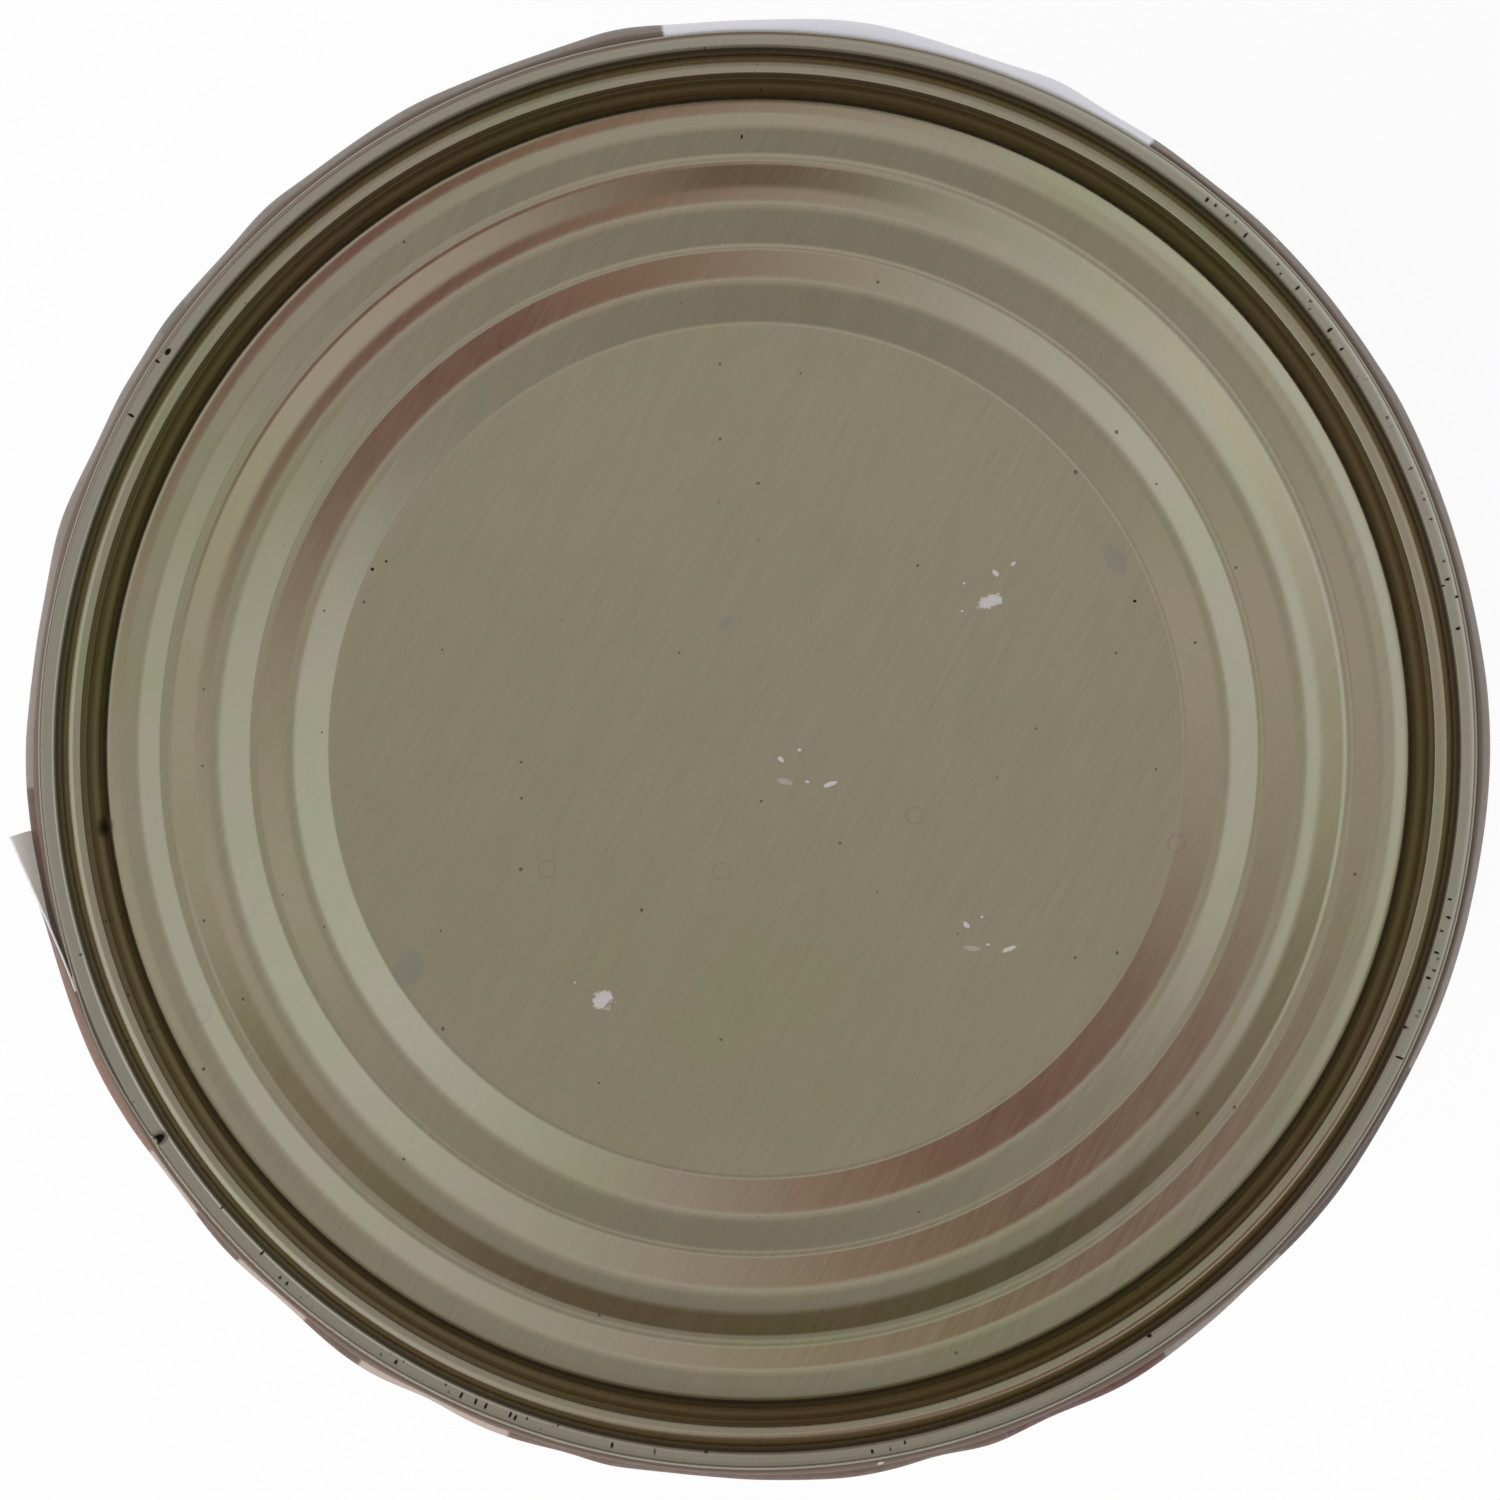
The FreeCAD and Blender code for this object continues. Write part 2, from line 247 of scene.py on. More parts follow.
class LabelSizes(bpy.types.PropertyGroup):
    sheet: length("Sheet", 0.12, "Thickness of the paper")
    play: length("Play", 0.08, "How loosely it sits on the body")
    foot: length("Foot", LABEL_FOOT / MM, "Height of its lower edge")
    top: length("Top", LABEL_TOP / MM, "Height of its upper edge")
    free_edge_deg: FloatProperty(name="Free edge", default=186.3,
                                 description="Angle of the outer edge of the lap, in degrees")
    lap_deg: FloatProperty(name="Lap", default=12.0,
                           description="Angle by which the ends overlap, in degrees")
    lap_gap: length("Lap gap", 0.05, "Between the two layers of the lap")
    pucker: length("Pucker height", 9.0, "The free upper edge waves over this height")
    tuck_in: length("Tuck in", 0.60, "How far the upper edge leans in over the neck")
    corner_lift: length("Corner lift", 0.77, "How far the corner of the lap has come loose")
    corner_reach_deg: FloatProperty(name="Corner reach", default=13.0,
                                    description="Angle over which it stands off, in degrees")
    flap_reach_deg: FloatProperty(name="Flap reach", default=8.5,
                                  description="Angle over which the paper doesn't lean in")
    corner_height: length("Corner height", 5.0, "Height over which it falls back")
    corner_slip_deg: FloatProperty(name="Corner slip", default=0.35,
                                   description="Angle by which the loose corner slips, in degrees")
    crinkle: length("Crinkle", 0.02, "Height of the fine creases")


class TinColours(bpy.types.PropertyGroup):
    lacquer: colour("Lacquer", (0.60, 0.52, 0.375), "Lacquered tinplate")
    green_tinge: colour("Green tinge", (0.56, 0.53, 0.33), "Where the lacquer is thick")
    thin: colour("Thin lacquer", (0.60, 0.55, 0.47), "Lacquer worn thin on the land of the seam")
    rubbed: colour("Rubbed", (0.58, 0.56, 0.58), "Scuffed spots")
    # Colour of dirt, and of the painted shade on the chuck wall and the outer side of the seam.
    grime_and_painted_shade: colour("Grime", (0.030, 0.024, 0.016), "Dirt along the seam and in the groove")
    dried: colour("Dried drops", (0.42, 0.30, 0.26), "Rings left by drops")
    smudge: colour("Smudge", (0.38, 0.42, 0.42), "Bluish smudges")
    weld: colour("Weld", (0.30, 0.30, 0.31), "Welded strip of the side seam")
    roughness: FloatProperty(name="Roughness", default=0.18, min=0.0, max=1.0,
                             description="Of the lacquered tinplate")


class LabelColours(bpy.types.PropertyGroup):
    ground: colour("Ground", (0.235, 0.195, 0.165), "Brown-grey ground")
    lilac: colour("Lilac white", (0.81, 0.80, 0.86), "Back field")
    blush: colour("Blush", (0.20, 0.105, 0.070), "Field next to the lap")
    rose: colour("Rose white", (0.40, 0.315, 0.265), "Narrow field next to that")
    brown: colour("Brown", (0.105, 0.055, 0.032), "Front field")
    maroon: colour("Maroon", (0.085, 0.018, 0.010), "Stripe beside the front field")
    slate: colour("Slate", (0.052, 0.041, 0.031), "Field beyond that stripe")
    moss: colour("Moss", (0.16, 0.16, 0.12), "Narrow stripes")
    border: colour("Border", (0.17, 0.125, 0.10), "Bands along both edges")
    paper: colour("Paper", (0.86, 0.81, 0.79), "Unprinted back of the label")


class StageSettings(bpy.types.PropertyGroup):
    camera_height: length("Camera height", 500.0, "Above the upper land")
    frame_width: length("Frame width", 75.3, "What the camera takes in at the upper land")
    camera_aside: length("Camera aside", -0.38, "How far the camera stands off the can's axis")
    floor_size: length("Floor size", 6000.0, "Side of the floor")
    floor: colour("Floor", (0.93, 0.93, 0.93), "Colour of the floor")
    floor_fade: FloatProperty(name="Floor fade", default=0.92, min=0.0, max=1.0,
                              description="Share of white in what the camera sees of the floor")
    lamp_power: FloatProperty(name="Lamp power", description="Of the soft lamp", default=9.0,
                              unit="POWER")
    lamp_size: length("Lamp size", 900.0, "Its diameter")
    surroundings: FloatProperty(name="Surroundings", default=0.72,
                                description="Level of the light from all round")
    overhead: colour("Overhead", (0.382, 0.377, 0.363), "What level metal reflects")
    horizon: colour("Horizon", (0.20, 0.20, 0.19), "What metal reflects from the room's far end")
    in_folds: colour("In folds", (0.065, 0.045, 0.02), "What metal reflects deep in a fold")
    between_folds: FloatProperty(name="Between folds", default=0.45, min=0.0, max=1.0,
                                 description="Share of the light left after two reflections")


# --- Sections -------------------------------------------------------------------------------
def heading(a, b):
    run = math.hypot(b[0] - a[0], b[1] - a[1])
    return (b[0] - a[0]) / run, (b[1] - a[1]) / run


def turn(before, corner, after):
    """Signed angle by which an outline turns at a corner, positive to the left."""
    u = heading(before, corner)
    v = heading(corner, after)
    return math.atan2(u[0] * v[1] - u[1] * v[0], u[0] * v[0] + u[1] * v[1])


def other_face(points, radii, sheet):
    """The far face of a sheet that lies to the right of an outline."""
    last = len(points) - 1
    moved = []
    new_radii = [0.0] * len(points)
    for i, point in enumerate(points):
        u = heading(points[max(i - 1, 0)], points[max(i, 1)])
        v = heading(points[min(i, last - 1)], points[min(i + 1, last)])
        share = sheet / (1.0 + u[0] * v[0] + u[1] * v[1])
        moved.append((point[0] + share * (u[1] + v[1]), point[1] - share * (u[0] + v[0])))
        if 0 < i < last:
            to_left = turn(points[i - 1], point, points[i + 1]) > 0
            new_radii[i] = radii[i] + (sheet if to_left else -sheet)
    return moved, new_radii


def divided(start, end, longest):
    """Points from start to end, without the first, no further apart than longest.

    A short step at both ends of a fine run keeps the shading of the arcs beside it off the flat.
    """
    run = math.hypot(end[0] - start[0], end[1] - start[1])
    steps = max(1, math.ceil(run / longest - 1e-6))
    shares = [i / steps for i in range(1, steps + 1)]
    short = SHORT_STEP_MM * MM
    if longest < MM and run > 5 * short:
        shares = [short / run, *(share for share in shares[:-1]), 1 - short / run, 1.0]
    return [(start[0] + (end[0] - start[0]) * share, start[1] + (end[1] - start[1]) * share)
            for share in shares]


def fine_line(points, radii, longest, arc_step):
    """The outline through the points as a fine line, with a tangent arc at each corner."""
    line = [points[0]]
    for i in range(1, len(points) - 1):
        corner = points[i]
        if radii[i] <= 0:
            line += divided(line[-1], corner, longest)
            continue
        u = heading(points[i - 1], corner)
        v = heading(corner, points[i + 1])
        whole = turn(points[i - 1], corner, points[i + 1])
        reach = radii[i] * math.tan(abs(whole) / 2)
        line += divided(line[-1], (corner[0] - u[0] * reach, corner[1] - u[1] * reach), longest)
        side = math.copysign(radii[i], whole)
        middle = (line[-1][0] - u[1] * side, line[-1][1] + u[0] * side)
        steps = max(2, math.ceil(abs(whole) / arc_step))
        first = math.atan2(line[-1][1] - middle[1], line[-1][0] - middle[0])
        for k in range(1, steps + 1):
            way = first + whole * k / steps
            line.append((middle[0] + radii[i] * math.cos(way),
                         middle[1] + radii[i] * math.sin(way)))
    return line + divided(line[-1], points[-1], longest)


class Section:
    """Cross-section of the can's ends and body, from the property groups."""

    def __init__(self, scene):
        self.can = scene.can_sizes
        self.seam = scene.seam_sizes
        self.panel = scene.panel_sizes
        self.lean = math.tan(self.seam.taper)
        self.upright = math.cos(self.seam.taper)
        sheets = 3 * self.can.end_sheet + 2 * self.can.body_sheet
        self.thickness = sheets + 3 * self.seam.slack
        pinched = 2 * self.can.end_sheet + self.can.body_sheet + 2 * self.seam.slack
        self.foot_radius = 0.45 * pinched

    def seam_point(self, wall_radius, across, depth):
        """A point across from the chuck wall and down from the land, on layers that lean."""
        chuck_foot = wall_radius - (self.can.body_sheet + self.can.end_sheet) / self.upright
        out = across / self.upright + (self.seam.height - depth) * self.lean
        return chuck_foot + out, -depth

    def panel_path(self, wall_radius):
        """Outside of an end from its centre to the foot of the chuck wall."""
        p = self.panel
        chuck_foot = self.seam_point(wall_radius, 0, p.countersink_depth)
        path = [(chuck_foot, p.countersink_radius)]
        radius = chuck_foot[0] - p.countersink_width
        path.append(((radius, -p.countersink_depth), p.countersink_radius))
        radius -= p.wall_run
        path.append(((radius, -p.wall_top), p.edge_radius))
        for ridge in RIDGES_MM:
            (outer_run, shoulder, inner_run, valley_land, crest_depth, valley_depth,
             crest_radius) = (value * MM for value in ridge)
            radius -= outer_run
            if shoulder:
                shoulder_depth = crest_depth + shoulder * math.tan(p.shoulder_slope)
                path.append(((radius, -shoulder_depth), crest_radius))
                radius -= shoulder
            path.append(((radius, -crest_depth), crest_radius))
            radius -= inner_run
            path.append(((radius, -valley_depth), p.valley_radius))
            path.append(((radius - p.bead_width, p.bead_height - valley_depth), p.valley_radius))
            radius -= valley_land
            path.append(((radius, -valley_depth), p.valley_radius))
        path.append(((0.0, path[-1][0][1]), 0.0))
        return [point for point, _ in reversed(path)], [corner for _, corner in reversed(path)]

    def seam_path(self, wall_radius):
        """Outside of the seam, from the crown over the seaming wall to the tip of the hook."""
        hook_face = self.can.end_sheet + self.can.body_sheet + self.seam.slack
        tip = hook_face + self.seam.hook_tip_gap
        spots = ((0.0, 0.0, self.seam.crown_inner),
                 (self.thickness - self.seam.land_fall_width, 0.0, self.seam.land_blend),
                 (self.thickness, self.seam.land_fall, self.seam.crown_outer),
                 (self.thickness, self.seam.height, self.foot_radius),
                 (hook_face, self.seam.height, self.foot_radius),
                 (hook_face, tip, 0.0))
        points = [self.seam_point(wall_radius, across, depth) for across, depth, _ in spots]
        return points, [corner for _, _, corner in spots]

    def seam_share(self, wall_radius, r, z):
        """Nothing on the chuck wall, 1 on the seaming wall, growing from layer to layer."""
        across = r - self.seam_point(wall_radius, 0, -z)[0]
        return min(1.0, max(0.0, across / self.thickness))

    def end(self, wall_radius):
        """Closed outline of an end: its outside as a fine line, then its inside, coarser."""
        panel, panel_corners = self.panel_path(wall_radius)
        seam, seam_corners = self.seam_path(wall_radius)
        points, corners = panel + seam, panel_corners + seam_corners
        outside = fine_line(points, corners, LONGEST_STEP_MM * MM, math.radians(ARC_STEP_DEG))
        inside = fine_line(*other_face(points, corners, self.can.end_sheet), 40 * MM,
                           math.radians(45))
        return outside + inside[::-1]

    def flange_path(self, wall_radius):
        """From the back of the chuck wall over the flange and its hook, and down to the neck."""
        inner_radius = 0.45 * (self.can.end_sheet + 2 * self.seam.slack)
        outer_radius = inner_radius + self.can.body_sheet
        hook_face = 2 * self.can.end_sheet + self.can.body_sheet + 2 * self.seam.slack
        top = self.can.end_sheet + self.seam.slack
        tip = self.seam.height - self.can.end_sheet - self.seam.hook_tip_gap
        wall = self.can.end_sheet + self.can.body_sheet
        sheet = self.can.body_sheet
        spots = ((self.can.end_sheet, top, outer_radius),
                 (hook_face + sheet, top, outer_radius),
                 (hook_face + sheet, tip, 0.0),
                 (hook_face, tip, 0.0),
                 (hook_face, top + sheet, inner_radius),
                 (wall, top + sheet, inner_radius),
                 (wall, self.seam.height, 0.0))
        points = [self.seam_point(wall_radius, across, depth) for across, depth, _ in spots]
        return points, [corner for _, _, corner in spots]

    def body_end(self, wall_radius):
        """The body where it meets one end, from under the panel to the foot of the seam."""
        panel, panel_corners = self.panel_path(wall_radius)
        seam, seam_corners = self.seam_path(wall_radius)
        inside, inside_corners = other_face(panel + seam, panel_corners + seam_corners,
                                            self.can.end_sheet)
        flange, flange_corners = self.flange_path(wall_radius)
        shared = len(panel)
        return inside[:shared] + flange, inside_corners[:shared] + flange_corners

    def body(self):
        can = self.can
        neck_radius = can.body_radius - can.neck_in
        shoulder = can.height - can.neck_length
        shoulder_foot = shoulder - can.neck_in / math.tan(can.neck_slope)
        upper, upper_corners = self.body_end(neck_radius)
        lower, lower_corners = self.body_end(can.body_radius)
        points = [(r, can.height + z) for r, z in upper]
        points += [(neck_radius, shoulder), (can.body_radius, shoulder_foot)]
        points += [(r, -z) for r, z in reversed(lower)]
        corners = upper_corners + [can.neck_blend, can.neck_blend] + lower_corners[::-1]
        return fine_line(points, corners, 6 * MM, math.radians(15))


# --- Walls that are rolled up round the can's axis --------------------------------------------
def columns(count, fine_spots):
    """Angles round the can, closer together near each (angle, half width, step)."""
    angles = [FULL_TURN * i / count for i in range(count)]
    for spot, half_width, step in fine_spots:
        angles = [a for a in angles if abs(a - spot) > half_width]
        steps = round(half_width / step)
        angles += [spot + step * i for i in range(-steps, steps + 1)]
    return sorted(angles)


def strip(name, line, closed, angles, shares):
    """A wall before it is rolled up: x is the radius, y the angle and z the height.

    Points on the axis become one point each. shares gives how much a point belongs to a seam and
    how much to a panel, from its radius and height.
    """
    points = []
    rows = []
    for r, z in line:
        first = len(points)
        if r < 1e-6:
            points.append((0.0, 0.0, z))
            rows.append([first] * len(angles))
        else:
            points += [(r, a, z) for a in angles]
            rows.append(list(range(first, first + len(angles))))
    faces = []
    pairs = list(zip(rows, rows[1:]))
    if closed:
        pairs.append((rows[-1], rows[0]))
    for low, high in pairs:
        for i in range(len(angles)):
            k = (i + 1) % len(angles)
            corners = []
            for corner in (low[i], low[k], high[k], high[i]):
                if corner not in corners:
                    corners.append(corner)
            if len(corners) > 2:
                faces.append(corners)
    mesh = bpy.data.meshes.new(name)
    mesh.from_pydata(points, [], faces)
    found = [shares(r, z) for r, _, z in points]
    for which, share_name in enumerate(("seam_share", "panel_share")):
        share = mesh.attributes.new(share_name, "FLOAT", "POINT")
        share.data.foreach_set("value", [both[which] for both in found])
    piece = bpy.data.objects.new(name, mesh)
    bpy.context.scene.collection.objects.link(piece)
    return piece


class Web:
    """Adds nodes to a node tree. Values that are sockets are linked, and others are set."""

    def __init__(self, tree):
        self.tree = tree

    def node(self, kind, values=None, **settings):
        made = self.tree.nodes.new(kind)
        for key, value in settings.items():
            setattr(made, key, value)
        for key, value in (values or {}).items():
            self.feed(made.inputs[key], value)
        return made

    def feed(self, socket, value):
        if isinstance(value, bpy.types.NodeSocket):
            self.tree.links.new(value, socket)
        else:
            socket.default_value = value

    def sum(self, operation, *values, clamp=False):
        made = self.node("ShaderNodeMath", operation=operation, use_clamp=clamp)
        for socket, value in zip(made.inputs, values):
            self.feed(socket, value)
        return made.outputs[0]

    def vector(self, operation, *values):
        made = self.node("ShaderNodeVectorMath", operation=operation)
        for socket, value in zip(made.inputs, values):
            self.feed(socket, value)
        scalar = operation in ("LENGTH", "DISTANCE", "DOT_PRODUCT")
        return made.outputs["Value" if scalar else "Vector"]

    def scaled(self, vector, factor):
        made = self.node("ShaderNodeVectorMath", {"Vector": vector, "Scale": factor},
                         operation="SCALE")
        return made.outputs["Vector"]

    def ramp(self, value, low, high, start=0.0, end=1.0):
        made = self.node("ShaderNodeMapRange", {"Value": value, "From Min": low,
                                                "From Max": high, "To Min": start,
                                                "To Max": end})
        made.interpolation_type = "SMOOTHSTEP"
        return made.outputs["Result"]

    def mix(self, factor, a, b):
        made = self.node("ShaderNodeMix", data_type="RGBA")
        self.feed(made.inputs["Factor"], factor)
        self.feed(made.inputs[6], a)
        self.feed(made.inputs[7], b)
        return made.outputs[2]


def roll_up_tree():
    """Geometry Nodes that roll a strip up, and make it swell, nick and stray a little."""
    tree = bpy.data.node_groups.new("Roll up round the axis", "GeometryNodeTree")
    tree.interface.new_socket("Geometry", in_out="INPUT", socket_type="NodeSocketGeometry")
    for name in ("Swell at", "Swell width", "Swell", "Nick at", "Nick width", "Nick",
                 "Unevenness", "Unevenness per metre", "Seed"):
        tree.interface.new_socket(name, in_out="INPUT", socket_type="NodeSocketFloat")
    tree.interface.new_socket("Material", in_out="INPUT", socket_type="NodeSocketMaterial")
    tree.interface.new_socket("Geometry", in_out="OUTPUT", socket_type="NodeSocketGeometry")
    web = Web(tree)
    given = web.node("NodeGroupInput").outputs
    place = web.node("GeometryNodeInputPosition").outputs[0]
    parts = web.node("ShaderNodeSeparateXYZ", {"Vector": place}).outputs

    def share(name):
        return web.node("GeometryNodeInputNamedAttribute", {"Name": name},
                        data_type="FLOAT").outputs["Attribute"]

    def bell(at, width):
        """1 at an angle, falling to nothing within a few widths."""
        away = web.sum("DIVIDE", web.sum("SUBTRACT", parts["Y"], at), width)
        return web.sum("EXPONENT", web.sum("MULTIPLY", web.sum("MULTIPLY", away, away), -1.0))

    across = web.sum("COSINE", parts["Y"])
    along = web.sum("SINE", parts["Y"])
    rolled = web.node("ShaderNodeCombineXYZ", {"X": web.sum("MULTIPLY", parts["X"], across),
                                               "Y": web.sum("MULTIPLY", parts["X"], along),
                                               "Z": parts["Z"]}).outputs[0]
    rough = web.node("ShaderNodeTexNoise", {"Vector": rolled, "W": given["Seed"],
                                            "Scale": given["Unevenness per metre"],
                                            "Detail": 1.0}, noise_dimensions="4D")
    stray = web.sum("MULTIPLY", rough.outputs[0], given["Unevenness"])
    swell = web.sum("MULTIPLY", bell(given["Swell at"], given["Swell width"]), given["Swell"])
    nick = web.sum("MULTIPLY", bell(given["Nick at"], given["Nick width"]), given["Nick"])
    moved_out = web.sum("SUBTRACT", web.sum("SUBTRACT", swell, nick), stray)
    radius = web.sum("MULTIPLY_ADD", share("seam_share"), moved_out, parts["X"])
    sunk = web.sum("ADD", web.sum("MULTIPLY", share("panel_share"), stray),
                   web.sum("MULTIPLY", share("seam_share"), nick))
    moved = web.node("ShaderNodeCombineXYZ", {"X": web.sum("MULTIPLY", radius, across),
                                              "Y": web.sum("MULTIPLY", radius, along),
                                              "Z": web.sum("SUBTRACT", parts["Z"], sunk)})
    placed = web.node("GeometryNodeSetPosition", {"Geometry": given["Geometry"],
                                                  "Position": moved.outputs[0]})
    smooth = web.node("GeometryNodeSetShadeSmooth", {"Geometry": placed.outputs[0]})
    whole = web.node("GeometryNodeRealizeInstances", {"Geometry": smooth.outputs[0]})
    dressed = web.node("GeometryNodeSetMaterial", {"Geometry": whole.outputs[0],
                                                   "Material": given["Material"]})
    web.node("NodeGroupOutput", {"Geometry": dressed.outputs[0]})
    return tree


def rolled_up(piece, material, **values):
    """Runs the strip through the tree and leaves a plain mesh."""
    tree = bpy.data.node_groups.get("Roll up round the axis") or roll_up_tree()
    modifier = piece.modifiers.new("Roll up", "NODES")
    modifier.node_group = tree
    values = {name.replace("_", " ").capitalize(): value for name, value in values.items()}
    values["Material"] = material
    for socket in tree.interface.items_tree:
        if socket.in_out == "INPUT" and socket.name in values:
            modifier[socket.identifier] = values.pop(socket.name)
    if values:
        raise RuntimeError(f"no such inputs: {sorted(values)}")
    graph = bpy.context.evaluated_depsgraph_get()
    mesh = bpy.data.meshes.new_from_object(piece.evaluated_get(graph))
    piece.modifiers.remove(modifier)
    flat = piece.data
    piece.data = mesh
    bpy.data.meshes.remove(flat)
    mesh.name = piece.name
    for share_name in ("seam_share", "panel_share"):
        mesh.attributes.remove(mesh.attributes[share_name])
    return piece


def put_on(piece, node):
    """Turns all faces outwards and lets the piece stand for its CAD node."""
    work = bmesh.new()
    work.from_mesh(piece.data)
    bmesh.ops.recalc_face_normals(work, faces=work.faces)
    work.to_mesh(piece.data)
    work.free()
    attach(piece, "root")
    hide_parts(node)


# --- Shader node groups -----------------------------------------------------------------------
def new_group(name, inputs, outputs):
    """An empty shader node group, with its web, inputs and the sockets to feed."""
    tree = bpy.data.node_groups.new(name, "ShaderNodeTree")
    for socket_name, kind, value in inputs:
        socket = tree.interface.new_socket(socket_name, in_out="INPUT",
                                           socket_type="NodeSocket" + kind)
        if value is not None:
            socket.default_value = value
    for socket_name, kind in outputs:
        tree.interface.new_socket(socket_name, in_out="OUTPUT", socket_type="NodeSocket" + kind)
    web = Web(tree)
    return web, web.node("NodeGroupInput").outputs, web.node("NodeGroupOutput").inputs


def grain_group():
    """Fine straight lines that the rolling mill left, all in one direction."""
    web, given, out = new_group(
        "Rolling grain",
        [("Vector", "Vector", None), ("Direction", "Float", 1.1), ("Lines per mm", "Float", 11.0)],
        [("Lines", "Float")])
    turned = web.node("ShaderNodeVectorRotate", {"Vector": given["Vector"],
                                                 "Angle": web.sum("MULTIPLY", given["Direction"],
                                                                  -1.0)},
                      rotation_type="Z_AXIS").outputs[0]
    parts = web.node("ShaderNodeSeparateXYZ", {"Vector": turned}).outputs
    lines = []
    for fineness, stretch in ((1.0, 0.03), (0.35, 0.08)):
        per_mm = web.sum("MULTIPLY", given["Lines per mm"], fineness)
        drawn = web.node("ShaderNodeCombineXYZ", {
            "X": web.sum("MULTIPLY", parts["X"], web.sum("MULTIPLY", per_mm, stretch)),
            "Y": web.sum("MULTIPLY", parts["Y"], per_mm),
            "Z": web.sum("MULTIPLY", parts["Z"], web.sum("MULTIPLY", per_mm, stretch))
            }).outputs[0]
        lines.append(web.node("ShaderNodeTexNoise", {"Vector": drawn, "Scale": 1.0,
                                                     "Detail": 2.0}).outputs[0])
    web.feed(out["Lines"], web.sum("MULTIPLY", web.sum("ADD", *lines), 0.5))
    return web.tree


def specks_group(name="Specks", dimensions="3D"):
    """Scattered specks of many sizes."""
    web, given, out = new_group(
        name,
        [("Vector", "Vector", None), ("Specks per mm", "Float", 0.5), ("Amount", "Float", 0.1),
         ("Size", "Float", 0.12)],
        [("Mask", "Float")])
    cells = web.node("ShaderNodeTexVoronoi", {"Vector": given["Vector"],
                                              "Scale": given["Specks per mm"]},
                     voronoi_dimensions=dimensions)
    drawn = web.node("ShaderNodeSeparateColor", {"Color": cells.outputs["Color"]}).outputs
    there = web.sum("LESS_THAN", drawn["Red"], given["Amount"])
    size = web.sum("MULTIPLY", given["Size"], web.sum("MULTIPLY_ADD", drawn["Green"], 0.8, 0.2))
    ragged = web.node("ShaderNodeTexNoise", {"Vector": given["Vector"], "Scale": 6.0}).outputs[0]
    away = web.sum("MULTIPLY", cells.outputs["Distance"], web.sum("MULTIPLY_ADD", ragged, 1.6, 0.2))
    inside = web.sum("SUBTRACT", 1.0, web.ramp(away, web.sum("MULTIPLY", size, 0.6), size))
    web.feed(out["Mask"], web.sum("MULTIPLY", there, inside))
    return web.tree


def flat_specks_group():
    """Scattered specks on a flat face, where the vector's X and Y count alone."""
    return specks_group("Flat specks", "2D")


def spot_group():
    """How far a place lies from a spot that may be drawn out one way: 1 at its edge, squared."""
    web, given, out = new_group(
        "Spot",
        [("Vector", "Vector", None), ("Middle", "Vector", None), ("Half length", "Float", 0.5),
         ("Half width", "Float", 0.5), ("Turn", "Float", 0.0)],
        [("Squared", "Float")])
    from_middle = web.vector("SUBTRACT", given["Vector"], given["Middle"])
    sine, cosine = web.sum("SINE", given["Turn"]), web.sum("COSINE", given["Turn"])
    shares = []
    for half, x, y in (("Half length", cosine, sine),
                       ("Half width", web.sum("MULTIPLY", sine, -1.0), cosine)):
        way = web.node("ShaderNodeCombineXYZ", {"X": web.sum("DIVIDE", x, given[half]),
                                                "Y": web.sum("DIVIDE", y, given[half]),
                                                "Z": 0.0}).outputs[0]
        shares.append(web.vector("DOT_PRODUCT", from_middle, way))
    web.feed(out["Squared"], web.sum("MULTIPLY_ADD", shares[0], shares[0],
                                     web.sum("MULTIPLY", shares[1], shares[1])))
    return web.tree


def placed_group(web, name, build, values):
    """A node of a shared group, which is built the first time it is asked for."""
    tree = bpy.data.node_groups.get(name) or build()
    made = web.node("ShaderNodeGroup", node_tree=tree)
    for key, value in values.items():
        web.feed(made.inputs[key], value)
    return made.outputs


def new_material(name):
    material = bpy.data.materials.new(name)
    material.use_nodes = True
    material.node_tree.nodes.clear()
    return material, Web(material.node_tree)


def finish_material(web, values):
    """The shader itself, with constants on its own sockets."""
    shader = web.node("ShaderNodeBsdfPrincipled", values)
    web.node("ShaderNodeOutputMaterial", {"Surface": shader.outputs[0]})


def in_millimetres(web):
    place = web.node("ShaderNodeTexCoord").outputs["Object"]
    return web.scaled(place, 1.0 / MM)


# --- Materials --------------------------------------------------------------------------------
def either(web, masks):
    """The strongest of several masks."""
    whole = masks[0]
    for mask in masks[1:]:
        whole = web.sum("MAXIMUM", whole, mask)
    return whole


def nearest(web, distances):
    """The smallest of several distances."""
    least = distances[0]
    for distance in distances[1:]:
        least = web.sum("MINIMUM", least, distance)
    return least


def tin_surface(web, place, colours):
    """Lacquer colour, roughness and grain that both ends and the body share."""
    lines = placed_group(web, "Rolling grain", grain_group,
                         {"Vector": place, "Direction": math.radians(62)})["Lines"]
    cloud = web.node("ShaderNodeTexNoise", {"Vector": place, "Scale": 0.06, "Detail": 3.0,
                                            "Roughness": 0.6}).outputs[0]
    tinge = web.ramp(cloud, 0.45, 0.72)
    colour = web.mix(tinge, (*colours.lacquer, 1), (*colours.green_tinge, 1))
    pale = web.ramp(lines, 0.3, 0.7, 0.97, 1.03)
    colour = web.node("ShaderNodeMix", {"Factor": 1.0, 6: colour, 7: pale}, data_type="RGBA",
                      blend_type="MULTIPLY").outputs[2]
    roughness = web.ramp(lines, 0.3, 0.7, colours.roughness - 0.03, colours.roughness + 0.03)
    return colour, roughness, lines


def tin_shader(web, colour, roughness, metallic, height, coat=0.15):
    bump = web.node("ShaderNodeBump", {"Strength": 0.10, "Distance": 0.002 * MM,
                                       "Height": height}).outputs[0]
    finish_material(web, {"Base Color": colour, "Roughness": roughness, "Metallic": metallic,
                          "Normal": bump, "Coat Weight": coat, "Coat Roughness": 0.12})


